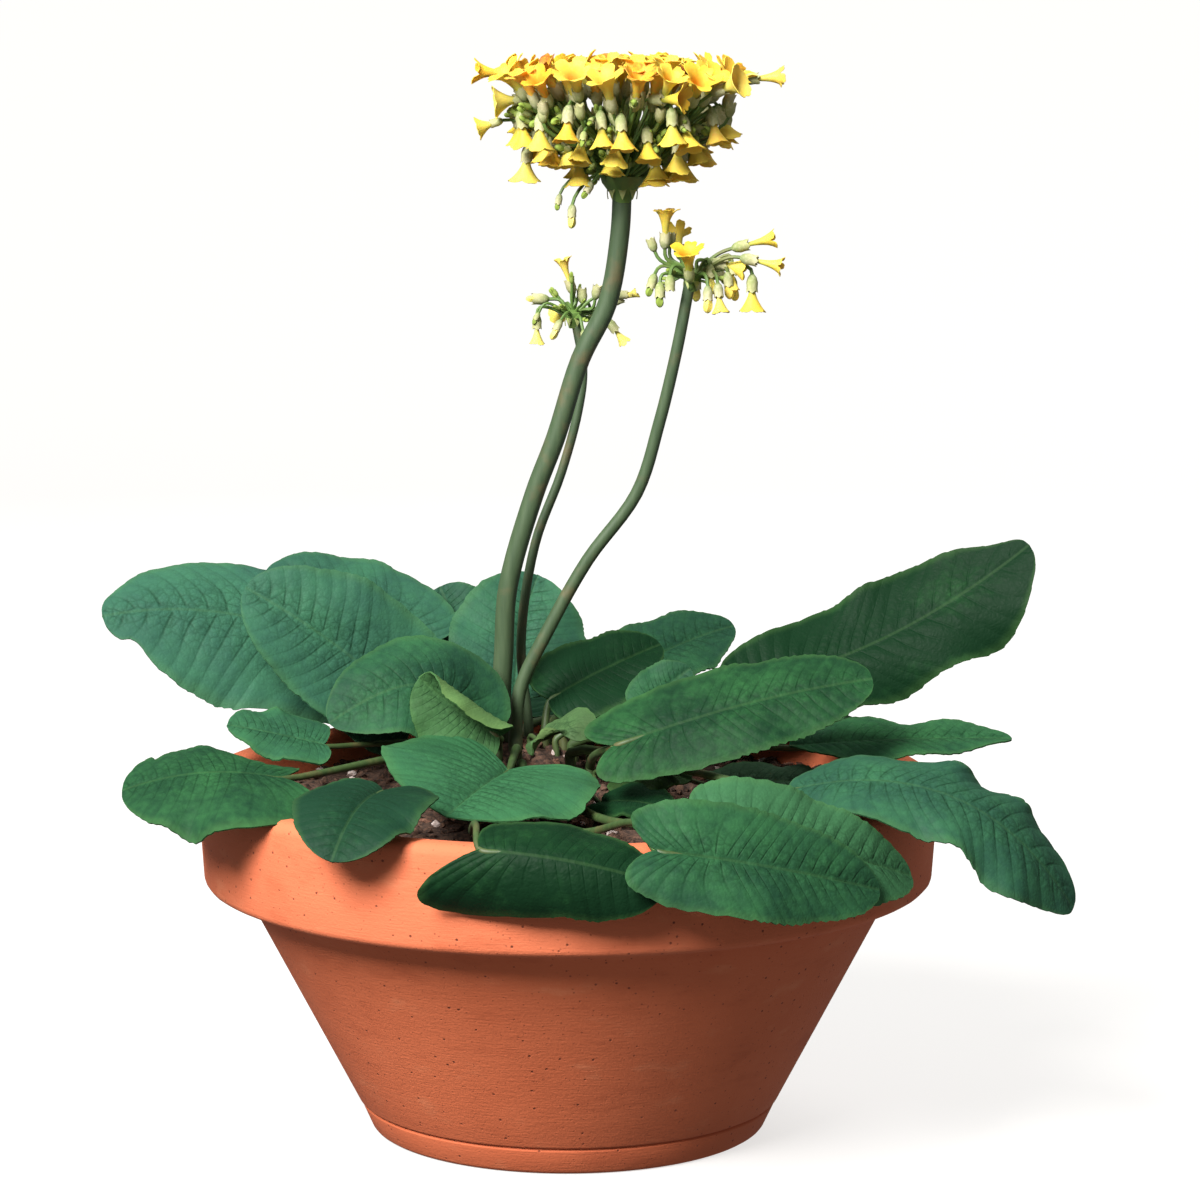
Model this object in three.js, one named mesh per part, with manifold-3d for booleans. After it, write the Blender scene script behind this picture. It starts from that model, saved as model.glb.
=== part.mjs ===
// A giant cowslip (a tall yellow primula) growing in a terracotta pan.
// Millimetres, +Z up. The origin is the centre of the pan's flat base, and the plant's front faces -Y.
import * as THREE from "three";
import { mergeVertices } from "three/addons/utils/BufferGeometryUtils.js";
import Module from "manifold-3d";

const wasm = await Module();
wasm.setup();

// Driving dimensions of the pan
const POT = {
  height: 145,
  baseRadius: 80,
  shoulderRadius: 133,
  rimFootRadius: 148,
  rimTopRadius: 150,
  rimHeight: 42,
  lipRound: 3,
  wall: 12,
  floor: 10,
  sides: 32,
};
const DRAIN = { radius: 12, sides: 16 };

// Driving dimensions of the soil
const SOIL = { rimLevel: 131, moundHeight: 19, moundSpread: 45, sides: 24, clearance: 0.7 };
const CROWN = { x: -25, y: 42 };
const HOLE_CLEARANCE = 0.35;
const HOLE_SIDES = 5;
const STUB_DEPTH = 12;
const STALK_RISE = 6;

// Driving dimensions of the foliage
const BLADE = {
  thickness: 1,
  endEase: 0.6,
  ripple: 0.02,
  lobeSpan: 0.4,
  lobeRound: 0.7,
  veinSweep: 0.12,
  leftPhase: 2,
};
const PETIOLE = { radius: 2.3, tipRadius: 1.2, sides: 4, steps: 4, stepsPerPoint: 2, joins: 0.12 };

// Driving dimensions of one flower, measured along its own axis from the foot of the calyx
const PEDICEL = { radius: 0.9, sides: 3, leave: 0.4, rise: 7, bossShare: 0.58 };
const CALYX_RINGS = [
  [2.5, 2.6],
  [6.5, 2.2],
];
const BUD_RINGS = [
  [9, 2.2],
  [12, 0.7],
];
const BELL = { start: 6.8, footRadius: 1.6, length: 8.5, mouthRadius: 8.6, notch: 0.86 };
const FUNNEL = { start: 6.8, footRadius: 1.6, length: 11, mouthRadius: 9.4, notch: 0.85 };
const LOBES = 5;
const DISH = 0.42;
const NOTCH_DROP = 0.6;
const UPTURNED = 0.3;

// Small vector helpers
const vec = (x, y, z) => new THREE.Vector3(x, y, z);
const radians = (degrees) => (degrees * Math.PI) / 180;
const lerp = THREE.MathUtils.lerp;

// A closed solid from a closed geometry: corners that coincide are merged, and flat triangles dropped.
function solidFrom(geometry) {
  geometry.deleteAttribute("normal");
  geometry.deleteAttribute("uv");
  const merged = mergeVertices(geometry, 1e-3);
  const corners = merged.index.array;
  const kept = [];
  for (let i = 0; i < corners.length; i += 3) {
    const [a, b, c] = [corners[i], corners[i + 1], corners[i + 2]];
    if (a !== b && b !== c && c !== a) kept.push(a, b, c);
  }
  const build = (triVerts) =>
    new wasm.Manifold(
      new wasm.Mesh({
        numProp: 3,
        vertProperties: merged.attributes.position.array,
        triVerts: new Uint32Array(triVerts),
      }),
    );
  const solid = build(kept);
  if (solid.volume() > 0) return solid;
  for (let i = 0; i < kept.length; i += 3) [kept[i], kept[i + 1]] = [kept[i + 1], kept[i]];
  return build(kept);
}

// Every corner of a geometry is moved to the place that a function gives for it.
function bent(geometry, place) {
  const corners = geometry.attributes.position;
  for (let i = 0; i < corners.count; i++) {
    const moved = place(corners.getX(i), corners.getY(i), corners.getZ(i));
    corners.setXYZ(i, moved.x, moved.y, moved.z);
  }
  return solidFrom(geometry);
}

// Solids joined into one body. Loose scraps and sealed pinholes that the joining leaves are dropped.
function joined(solids) {
  const bodies = wasm.Manifold.union(solids).decompose();
  return bodies.reduce((best, body) => (body.volume() > best.volume() ? body : best));
}

// A closed bar through a list of rings, each with its centre, its radius and the way the bar runs there
function bar(rings, sides) {
  const rod = new THREE.CylinderGeometry(1, 1, 1, sides, rings.length - 1);
  const frames = settledFrames(rings);
  return bent(rod, (x, y, z) => {
    const k = Math.round((y + 0.5) * (rings.length - 1));
    return rings[k].point
      .clone()
      .addScaledVector(frames[k].side, x * rings[k].radius)
      .addScaledVector(frames[k].other, z * rings[k].radius);
  });
}

// Cross directions that turn as little as possible from one ring to the next
function settledFrames(rings) {
  let side = vec(0.36, 0.48, 0.8).cross(rings[0].ahead).normalize();
  return rings.map(({ ahead }) => {
    side = side.clone().addScaledVector(ahead, -side.dot(ahead)).normalize();
    return { side, other: side.clone().cross(ahead) };
  });
}

// The rings of a stem or leaf stalk: a straight stub in the soil, then a curve that leaves it upwards
function risingRings([x, y], points, startRadius, endRadius, steps) {
  const level = soilLevel(x, y) + 1;
  const up = vec(0, 0, 1);
  const curve = new THREE.CatmullRomCurve3([vec(x, y, level), vec(x, y, level + STALK_RISE), ...points]);
  const rings = [{ point: vec(x, y, level - 1 - STUB_DEPTH), ahead: up, radius: startRadius }];
  for (let k = 0; k <= steps; k++) {
    rings.push({
      point: curve.getPointAt(k / steps),
      ahead: k === 0 ? up : curve.getTangentAt(k / steps),
      radius: lerp(startRadius, endRadius, k / steps),
    });
  }
  return rings;
}

// A profile spun round +Z, then turned so that +Z points along an aim, with its foot at a point.
function spun(profile, sides, foot, aim, edge) {
  const shape = new THREE.LatheGeometry(
    profile.map(([radius, height]) => new THREE.Vector2(radius, height)),
    sides,
  );
  const turn = new THREE.Quaternion().setFromUnitVectors(vec(0, 0, 1), aim);
  return bent(shape, (x, y, z) => {
    const point = edge ? edge(vec(x, z, y)) : vec(x, z, y);
    return point.applyQuaternion(turn).add(foot);
  });
}

// The pan
function pot() {
  const p = POT;
  const rimFoot = p.height - p.rimHeight;
  const shoulderInside = p.shoulderRadius - p.wall;
  const profile = [
    [0, 0],
    [p.baseRadius - 2, 0],
    [p.baseRadius, 2],
    [p.shoulderRadius, rimFoot],
    [p.rimFootRadius, rimFoot + 1],
    [p.rimTopRadius, p.height - p.lipRound],
    [p.rimTopRadius - p.lipRound, p.height],
    [p.rimTopRadius - p.wall + 1, p.height],
    [p.rimTopRadius - p.wall, p.height - 1],
    [shoulderInside, rimFoot - 3],
    [p.baseRadius - p.wall, p.floor],
    [0, p.floor],
  ];
  return spun(profile, p.sides, vec(0, 0, 0), vec(0, 0, 1)).subtract(drainPlug());
}

// The drain hole in the middle of the floor
function drainPlug() {
  const plug = new THREE.CylinderGeometry(DRAIN.radius, DRAIN.radius, 3 * POT.floor, DRAIN.sides);
  return bent(plug, (x, y, z) => vec(x, z, y + POT.floor / 2));
}

// The radius of the pan's inner face at a height
function innerRadius(height) {
  const rimFoot = POT.height - POT.rimHeight - 3;
  const top = POT.rimTopRadius - POT.wall;
  const shoulder = POT.shoulderRadius - POT.wall;
  if (height > rimFoot) return lerp(shoulder, top, (height - rimFoot) / (POT.height - 1 - rimFoot));
  return lerp(POT.baseRadius - POT.wall, shoulder, (height - POT.floor) / (rimFoot - POT.floor));
}

// The level of the soil's surface, which is heaped round the crown of the plant
function soilLevel(x, y) {
  const away = Math.hypot(x - CROWN.x, y - CROWN.y);
  return SOIL.rimLevel + SOIL.moundHeight * Math.exp(-((away / SOIL.moundSpread) ** 2));
}

function soil(stems) {
  const wallFoot = POT.height - POT.rimHeight - 3;
  const bottom = POT.floor + 0.3;
  const fit = (height) => innerRadius(height) - SOIL.clearance;
  const surface = [1, 0.68, 0.33, 0].map((share) => [share * fit(SOIL.rimLevel), SOIL.rimLevel]);
  const profile = [[0, bottom], [fit(bottom), bottom], [fit(wallFoot), wallFoot], ...surface];
  const heap = new THREE.LatheGeometry(
    profile.map(([radius, height]) => new THREE.Vector2(radius, height)),
    SOIL.sides,
  );
  const edge = fit(SOIL.rimLevel) - 1;
  const filled = bent(heap, (x, y, z) =>
    vec(x, z, y === SOIL.rimLevel && Math.hypot(x, z) < edge ? soilLevel(x, z) : y),
  );
  return filled.subtract(wasm.Manifold.union(stems.map(stemHole)));
}

// A plain hole round the foot of one stem or leaf stalk
function stemHole({ foot, radius }) {
  const depth = 40;
  const wide = (radius + HOLE_CLEARANCE) / Math.cos(Math.PI / HOLE_SIDES);
  const hole = new THREE.CylinderGeometry(wide, wide, depth, HOLE_SIDES);
  const bottom = soilLevel(foot[0], foot[1]) - STUB_DEPTH - HOLE_CLEARANCE;
  return bent(hole, (x, y, z) => vec(foot[0] + x, foot[1] + z, bottom + depth / 2 + y));
}

// One leaf is a blade along an arched midrib, on a stalk that rises from its root beside the crown.
// root is the stalk's place from the crown, and via lists points that the stalk passes under way.
// base, mid and tip are points of the midrib, face is the way the blade looks, width half its width.
// fold and curl are degrees, upwards positive, for the half left of the midrib and the half right of it:
// fold turns a half at the midrib, and curl bends it on towards its edge. twist turns the tip, in degrees.
// lobe is how far the two lobes reach back past the base, as a share of the blade's length, and lobeRise
// how far they stand up. widest and blunt shape the outline, and wave and waves its rippled edge.
const LEAF_DEFAULTS = {
  fold: [12, 12],
  curl: [-30, -30],
  twist: 0,
  lobe: 0.13,
  lobeRise: 2,
  widest: 0.8,
  blunt: 0.5,
  wave: 1.5,
  waves: 2.5,
  rows: 7,
  columns: 4,
  via: [],
};

const LEAVES = [
  {
    name: "leaf_left_rear",
    root: [-24, -2],
    base: [-84, 40, 184], mid: [-137, 27, 206], tip: [-192, 15, 207],
    face: [0, -0.78, 0.62], width: 37,
    fold: [-4, 0], curl: [-20, -55],
    rows: 7, columns: 6,
  },
  {
    name: "leaf_left_upper",
    root: [-16, -9],
    base: [-64, 22, 168], mid: [-98, 12, 198], tip: [-133, 14, 220],
    face: [-0.25, -0.8, 0.55], width: 30,
    fold: [4, 10], curl: [25, -20], widest: 0.68,
    rows: 7, columns: 6,
  },
  {
    name: "leaf_rear_left",
    root: [-15, 13],
    base: [-60, 88, 185], mid: [-92, 97, 203], tip: [-133, 103, 212],
    face: [0, -0.6, 0.8], width: 24,
    rows: 6,
  },
  {
    name: "leaf_rear_upright",
    root: [3, 19],
    base: [-23, 66, 164], mid: [-21, 80, 189], tip: [-13, 95, 214],
    face: [0, -0.9, 0.4], width: 30,
    fold: [18, 18], lobe: 0.05,
    rows: 7, columns: 4,
  },
  {
    name: "leaf_rear_inner",
    root: [-9, 21],
    base: [-46, 91, 176], mid: [-51, 107, 192], tip: [-57, 117, 206],
    face: [-0.2, -0.8, 0.5], width: 19,
    rows: 5,
  },
  {
    name: "leaf_front_puckered",
    root: [-9, -15],
    base: [-42, 13, 160], mid: [-60, 2, 181], tip: [-98, -8, 166],
    face: [0, -0.75, 0.65], width: 26,
    fold: [6, 6],
    rows: 7, columns: 6,
  },
  {
    name: "leaf_small_left",
    root: [-27, -13],
    base: [-98, -18, 160], mid: [-117, -21, 165], tip: [-138, -23, 169],
    face: [0, -0.3, 0.95], width: 21,
    rows: 6,
  },
  {
    name: "leaf_left_front",
    root: [-20, -25],
    base: [-112, -62, 155], mid: [-143, -68, 158], tip: [-175, -66, 150],
    face: [0, -0.4, 0.91], width: 35,
    fold: [22, -12], curl: [-30, -40], twist: 14, lobe: 0.2, widest: 0.75,
    rows: 7, columns: 6,
  },
  {
    name: "leaf_over_rim_left",
    root: [-11, -31], via: [[-52, -42, 141]],
    base: [-70, -99, 157], mid: [-79, -128, 154.5], tip: [-87, -146, 138],
    face: [-0.1, -0.6, 0.8], width: 25,
    lobe: 0.16,
    rows: 6,
  },
  {
    name: "leaf_front_heart",
    root: [4, -26],
    base: [-24, -27, 151], mid: [-34, -58, 150], tip: [-47, -89, 144],
    face: [0, -0.1, 1], width: 43,
    fold: [0, 20], curl: [-20, -25], lobe: 0.2, lobeRise: 7, widest: 0.75,
    rows: 7, columns: 6,
  },
  {
    name: "leaf_rolled_centre",
    root: [-4, -22],
    base: [-28, -8, 161.5], mid: [-45, -8, 173], tip: [-61, -6, 186.5],
    face: [-0.3, -0.7, 0.6], width: 20,
    fold: [10, 30], curl: [-20, 150],
    rows: 6, columns: 6,
  },
  {
    name: "leaf_right_crinkled",
    root: [15, 2],
    base: [-8, 48, 167], mid: [14, 57, 178], tip: [40, 71, 187],
    face: [0, -0.65, 0.75], width: 21,
    rows: 6, columns: 6,
  },
  {
    name: "leaf_rear_right_dark",
    root: [16, 13],
    base: [14, 88, 165], mid: [43, 112, 178], tip: [73, 128, 186],
    face: [0, -0.6, 0.8], width: 21,
    rows: 6,
  },
  {
    name: "leaf_right_tall",
    root: [23, 5], via: [[20, 34, 153]],
    base: [64, 24, 177], mid: [126, 34, 193], tip: [192, 40, 234],
    face: [-0.2, -0.75, 0.6], width: 25,
    fold: [8, 4], curl: [-14, -50], lobe: 0.05, widest: 1.05, blunt: 0.42,
    rows: 8, columns: 6,
  },
  {
    name: "leaf_right_mid",
    root: [34, -28],
    base: [19, -38, 163.5], mid: [72, -36, 180], tip: [123, -30, 189],
    face: [-0.1, -0.7, 0.7], width: 22,
    fold: [6, 4], lobe: 0.08, widest: 0.9, blunt: 0.42,
    rows: 8, columns: 6,
  },
  {
    name: "leaf_right_narrow",
    root: [27, -7],
    base: [90, 0, 156], mid: [135, 5, 158], tip: [183, 10, 157],
    face: [0, -0.2, 0.98], width: 20,
    lobe: 0.05,
    rows: 6,
  },
  {
    name: "leaf_right_drooping",
    root: [26, -20],
    base: [88, -70, 152], mid: [149, -92, 153], tip: [197, -86, 107],
    face: [0.1, -0.6, 0.8], width: 25,
    fold: [-8, 14], lobe: 0.05, widest: 1, blunt: 0.42,
    rows: 8, columns: 6,
  },
  {
    name: "leaf_front_centre",
    root: [-4, -37], via: [[-36, -80, 138], [-33, -141, 152]],
    base: [-31, -157, 146.5], mid: [4, -164, 143], tip: [39, -159, 133],
    face: [0, -0.85, 0.5], width: 24,
    fold: [-25, -10], curl: [-30, -60], lobe: 0.42, blunt: 0.42,
    rows: 7, columns: 6,
  },
  {
    name: "leaf_front_right",
    root: [6, -37], via: [[-14, -38, 139], [4, -80, 137], [28, -143, 153]],
    base: [34, -161, 147], mid: [77, -155, 139], tip: [119, -130, 125],
    face: [0.2, -0.8, 0.5], width: 22,
    lobe: 0.15,
    rows: 7, columns: 6,
  },
  {
    name: "leaf_front_right_under",
    root: [12, -45], via: [[11, -60, 139]],
    base: [50, -142, 152], mid: [92, -132, 142], tip: [133, -102, 124],
    face: [0.25, -0.7, 0.65], width: 25,
    rows: 6,
  },
  {
    name: "leaf_olive",
    root: [9, -14],
    base: [-12, 12, 157], mid: [-2, 0, 163], tip: [0, -4, 159.5],
    face: [0.2, -0.4, 0.85], width: 12,
    lobe: 0.08,
    rows: 4,
  },
  {
    name: "leaf_low_dark",
    root: [24, -38],
    base: [14, -32, 139], mid: [28, -40, 141], tip: [44, -46, 138],
    face: [0, -0.3, 0.95], width: 15,
    rows: 4,
  },
  {
    name: "leaf_low_grey",
    root: [34, -14],
    base: [58, -14, 143], mid: [82, -18, 145], tip: [107, -20, 145],
    face: [0, -0.35, 0.93], width: 14,
    rows: 4,
  },
  {
    name: "leaf_behind_mid",
    root: [20, -8],
    base: [30, 38, 164], mid: [40, 40, 173], tip: [52, 43, 182],
    face: [0, -0.9, 0.35], width: 12,
    rows: 4,
  },
  {
    name: "leaf_back_centre",
    root: [6, 29],
    base: [0, 102, 152], mid: [10, 134, 155], tip: [18, 168, 137],
    face: [0, 0.2, 0.97], width: 28,
    lobe: 0.15,
    rows: 5,
  },
  {
    name: "leaf_back_right",
    root: [26, 13],
    base: [62, 80, 150], mid: [90, 100, 154], tip: [122, 122, 141],
    face: [0, 0.1, 0.98], width: 27,
    lobe: 0.12,
    rows: 5,
  },
  {
    name: "leaf_back_left",
    root: [-21, 27],
    base: [-66, 94, 150], mid: [-84, 110, 152], tip: [-101, 130, 143],
    face: [0, 0.1, 0.98], width: 22,
    lobe: 0.15,
    rows: 5,
  },
];

// The midrib is one quadratic arc through its three points. Past its base it goes on straight.
function midrib(leaf) {
  const base = vec(...leaf.base);
  const tip = vec(...leaf.tip);
  const pull = vec(...leaf.mid).multiplyScalar(2).addScaledVector(base, -0.5).addScaledVector(tip, -0.5);
  const arc = new THREE.QuadraticBezierCurve3(base, pull, tip);
  const face = vec(...leaf.face).normalize();
  const heading = (along) => {
    const held = Math.min(Math.max(along, 0), 1);
    const from = pull.clone().sub(base).multiplyScalar(1 - held);
    return from.addScaledVector(tip.clone().sub(pull), held).normalize();
  };
  const length = base.distanceTo(pull) * 2;
  return {
    point: (along) =>
      along < 0 ? base.clone().addScaledVector(heading(0), along * length) : arc.getPoint(Math.min(along, 1)),
    frame: (along) => {
      const ahead = heading(along);
      const right = ahead.clone().cross(face).normalize();
      const up = right.clone().cross(ahead);
      const turn = radians(leaf.twist * Math.max(along, 0));
      return {
        ahead,
        right: right.clone().multiplyScalar(Math.cos(turn)).addScaledVector(up, Math.sin(turn)),
        up: up.clone().multiplyScalar(Math.cos(turn)).addScaledVector(right, -Math.sin(turn)),
      };
    },
  };
}

// The blade's surface at a row along the leaf, 0 to 1, and a column across it, -1 to 1.
function bladePlace(leaf, rib, step, column) {
  const row = lerp(step, 0.5 - 0.5 * Math.cos(Math.PI * step), BLADE.endEase);
  const across = Math.abs(column);
  const half = column < 0 ? 0 : 1;
  const ripple = 1 + (Math.round(step * leaf.rows) % 2 ? BLADE.ripple : -BLADE.ripple);
  const edgeAcross = Math.sin(Math.PI * row ** leaf.widest) ** leaf.blunt * ripple || 0;
  const lobeShare = Math.sin(Math.PI * Math.min(1, row / BLADE.lobeSpan)) ** BLADE.lobeRound;
  const edgeAlong = row - leaf.lobe * (lobeShare || 0);
  const ribAlong = row - BLADE.veinSweep * Math.sin(Math.PI * row);
  const along = lerp(ribAlong, edgeAlong, across);
  const reach = Math.max(0, edgeAcross) * across;
  const fold = radians(leaf.fold[half]);
  const curl = radians(leaf.curl[half]);
  const slope = fold + curl * reach;
  const outward = (leaf.width * (Math.sin(slope) - Math.sin(fold))) / curl;
  const rise = (leaf.width * (Math.cos(fold) - Math.cos(slope))) / curl;
  const phase = half ? 0 : BLADE.leftPhase;
  const wave = leaf.wave * reach * reach * Math.sin(2 * Math.PI * leaf.waves * row + phase);
  const lifted = leaf.lobeRise * reach * (1 - row) ** 3;
  const side = half ? 1 : -1;
  const frame = rib.frame(along);
  const atEnd = step < 1e-6 || step > 1 - 1e-6;
  return {
    point: rib
      .point(along)
      .addScaledVector(frame.right, side * outward)
      .addScaledVector(frame.up, rise + wave + lifted),
    normal: atEnd
      ? frame.up
      : frame.up
          .clone()
          .multiplyScalar(Math.cos(slope))
          .addScaledVector(frame.right, -side * Math.sin(slope)),
  };
}

// A thin closed sheet: an upper and a lower face split alike, and a rim between them.
function sheet(rows, columns, thickness, place) {
  const grid = new THREE.PlaneGeometry(2, 1, columns, rows);
  const flat = grid.attributes.position;
  const corners = [];
  for (const face of [0.5, -0.5]) {
    for (let i = 0; i < flat.count; i++) {
      const { point, normal } = place(flat.getY(i) + 0.5, flat.getX(i));
      corners.push(...point.addScaledVector(normal, face * thickness).toArray());
    }
  }
  const upper = [...grid.index.array];
  const lower = upper.map((corner) => corner + flat.count).reverse();
  const outline = [];
  for (let c = 0; c < columns; c++) outline.push(c);
  for (let r = 0; r < rows; r++) outline.push(r * (columns + 1) + columns);
  for (let c = columns; c > 0; c--) outline.push(rows * (columns + 1) + c);
  for (let r = rows; r > 0; r--) outline.push(r * (columns + 1));
  const rim = outline.flatMap((a, i) => {
    const b = outline[(i + 1) % outline.length];
    return [a, b, b + flat.count, a, b + flat.count, a + flat.count];
  });
  const closed = new THREE.BufferGeometry();
  closed.setAttribute("position", new THREE.Float32BufferAttribute(corners, 3));
  closed.setIndex([...upper, ...lower, ...rim]);
  return solidFrom(closed);
}

const leafFoot = (leaf) => [CROWN.x + leaf.root[0], CROWN.y + leaf.root[1]];

function leafSolid(leaf) {
  const rib = midrib(leaf);
  const blade = sheet(leaf.rows, leaf.columns, BLADE.thickness, (row, column) =>
    bladePlace(leaf, rib, row, column),
  );
  const stalkPoints = [...leaf.via.map((point) => vec(...point)), rib.point(0), rib.point(PETIOLE.joins)];
  const steps = PETIOLE.steps + PETIOLE.stepsPerPoint * leaf.via.length;
  const rings = risingRings(leafFoot(leaf), stalkPoints, PETIOLE.radius, PETIOLE.tipRadius, steps);
  return blade.add(bar(rings, PETIOLE.sides));
}

// The three flowering stems, each a list of points from the soil to its head
const SCAPES = {
  main: {
    foot: [-27, 44],
    radius: 4.1,
    headRadius: 3.9,
    sides: 8,
    steps: 11,
    points: [
      [-28, 43, 169],
      [-27, 41, 188],
      [-25, 38, 216],
      [-14, 34, 255],
      [-5, 31, 279],
      [5, 28, 311],
      [16, 25, 334],
      [21, 22, 362],
      [22, 20, 381],
    ],
  },
  right: {
    foot: [-22, 32],
    radius: 3,
    headRadius: 2.3,
    sides: 6,
    steps: 10,
    points: [
      [-20, 32, 174],
      [-8, 29, 200],
      [8, 25, 229],
      [28, 21, 257],
      [37, 17, 286],
      [44, 13, 316],
      [49, 10, 343],
    ],
  },
  back: {
    foot: [-17, 51],
    radius: 2.1,
    headRadius: 1.8,
    sides: 5,
    steps: 9,
    points: [
      [-20, 52, 190],
      [-14, 51, 232],
      [-3, 51, 262],
      [4, 50, 288],
      [6, 50, 305],
      [3, 50, 324],
    ],
  },
};

function scape({ foot, points, radius, headRadius, sides, steps }) {
  return bar(risingRings(foot, points.map((point) => vec(...point)), radius, headRadius, steps), sides);
}

// One flower: a pedicel that leaves the boss of its head and swells into a calyx, and its corolla.
// foot is where the calyx starts, aim the way the flower points, kind its age and shape.
// A flower in a close ring has its own mouth radius and number of sides, and its tube starts from a point.
function flower({ boss, foot, aim, kind, turn = 0, mouth = 0, sides = 2 * LOBES }) {
  const at = vec(...foot);
  const ahead = vec(...aim).normalize();
  const centre = vec(...boss.centre);
  const away = at.clone().sub(centre);
  const start = centre.clone().addScaledVector(leaving(away, boss.lift), PEDICEL.bossShare * boss.radius);
  const leave = start.clone().addScaledVector(leaving(away, boss.lift), PEDICEL.leave * away.length());
  const arrive = at.clone().addScaledVector(ahead, -PEDICEL.rise);
  const stalk = new THREE.CubicBezierCurve3(start, leave, arrive, at);
  const steps = ahead.z < UPTURNED ? 2 : 1;
  const green = greenBar(stalk, steps, at, ahead, kind === "bud");
  if (kind === "bud") return { green, corolla: null };
  const grown = kind === "bell" ? BELL : FUNNEL;
  const size = mouth ? { ...grown, mouthRadius: mouth, footRadius: 0 } : grown;
  return { green, corolla: corolla(at, ahead, size, turn, sides) };
}

// Pedicels lean upwards as they leave the boss.
function leaving(away, lift) {
  return away.clone().normalize().add(vec(0, 0, lift)).normalize();
}

// A slender bar along the pedicel, then the calyx, then the closed petals if the flower is a bud
function greenBar(stalk, steps, at, ahead, isBud) {
  const rings = [];
  for (let k = 0; k <= steps; k++) {
    const along = k / steps;
    rings.push({ point: stalk.getPoint(along), ahead: stalk.getTangent(along), radius: PEDICEL.radius });
  }
  const further = isBud ? [...CALYX_RINGS, ...BUD_RINGS] : CALYX_RINGS;
  for (const [away, radius] of further) {
    rings.push({ point: at.clone().addScaledVector(ahead, away), ahead, radius });
  }
  return bar(rings, PEDICEL.sides);
}

// A trumpet with five notched lobes round its mouth and a dished inside
function corolla(foot, ahead, size, turn, sides) {
  const end = size.start + size.length;
  const profile = [
    [0, size.start],
    ...(size.footRadius ? [[size.footRadius, size.start]] : []),
    [size.mouthRadius, end],
    [0, size.start + DISH * size.length],
  ];
  const lobed = (point) => {
    const radius = Math.hypot(point.x, point.y);
    if (radius < size.footRadius + 0.1) return point;
    const angle = Math.atan2(point.y, point.x);
    const notched = Math.round(angle / (Math.PI / LOBES)) % 2 !== 0;
    const share = notched ? size.notch : 1;
    return vec(
      radius * share * Math.cos(angle + turn),
      radius * share * Math.sin(angle + turn),
      notched ? point.z - NOTCH_DROP : point.z,
    );
  };
  return spun(profile, sides, foot, ahead, lobed);
}

// The main head: a crown of upturned funnels over three tiers of nodding bells
const MAIN_HEAD = { centre: [22, 20, 384], radius: 10, height: 9 };
const CROWN_RINGS = [
  { count: 18, radius: 48, level: 427, tilt: 50, lift: 0.3, mouth: 10.2, sides: 2 * LOBES },
  { count: 10, radius: 33, level: 431, tilt: 30, lift: 0.6, mouth: 12.5, sides: LOBES },
  { count: 5, radius: 17, level: 434, tilt: 15, lift: 0.6, mouth: 13.5, sides: LOBES },
  { count: 1, radius: 0, level: 436, tilt: 0, lift: 0, mouth: 13.5, sides: LOBES },
];
const BELL_TIERS = [
  { name: "bells_upper", count: 19, radius: 44, level: 401, phase: 0.5, swell: 0.3, lift: 0.1 },
  { name: "bells_middle", count: 14, radius: 33, level: 393, phase: 0, swell: 0.4, lift: -0.2 },
  { name: "bells_lower", count: 9, radius: 21.5, level: 385, phase: 0.5, swell: 0.3, lift: -0.5 },
];

function crownFlowers(ring) {
  const tilt = radians(ring.tilt);
  const reach = FUNNEL.start + FUNNEL.length;
  return Array.from({ length: ring.count }, (_, k) => {
    const angle = (k / ring.count) * 2 * Math.PI;
    const out = [Math.cos(angle), Math.sin(angle)];
    const inward = ring.radius - reach * Math.sin(tilt);
    return {
      boss: { ...MAIN_HEAD, lift: ring.lift },
      foot: [
        MAIN_HEAD.centre[0] + out[0] * inward,
        MAIN_HEAD.centre[1] + out[1] * inward,
        ring.level - reach * Math.cos(tilt),
      ],
      aim: [out[0] * Math.sin(tilt), out[1] * Math.sin(tilt), Math.cos(tilt)],
      kind: "funnel",
      mouth: ring.mouth,
      sides: ring.sides,
      turn: Math.PI / 2 + angle,
    };
  });
}

function tierFlowers(tier) {
  const reach = BELL.start + BELL.length;
  return Array.from({ length: tier.count }, (_, k) => {
    const angle = ((k + tier.phase) / tier.count) * 2 * Math.PI;
    const level = tier.level + tier.swell * Math.sin(3 * angle);
    return {
      boss: { ...MAIN_HEAD, lift: tier.lift },
      foot: [
        MAIN_HEAD.centre[0] + tier.radius * Math.cos(angle),
        MAIN_HEAD.centre[1] + tier.radius * Math.sin(angle),
        level + reach,
      ],
      aim: [0, 0, -1],
      kind: "bell",
      mouth: BELL.mouthRadius,
      turn: Math.PI / 2 - angle,
    };
  });
}

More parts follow.
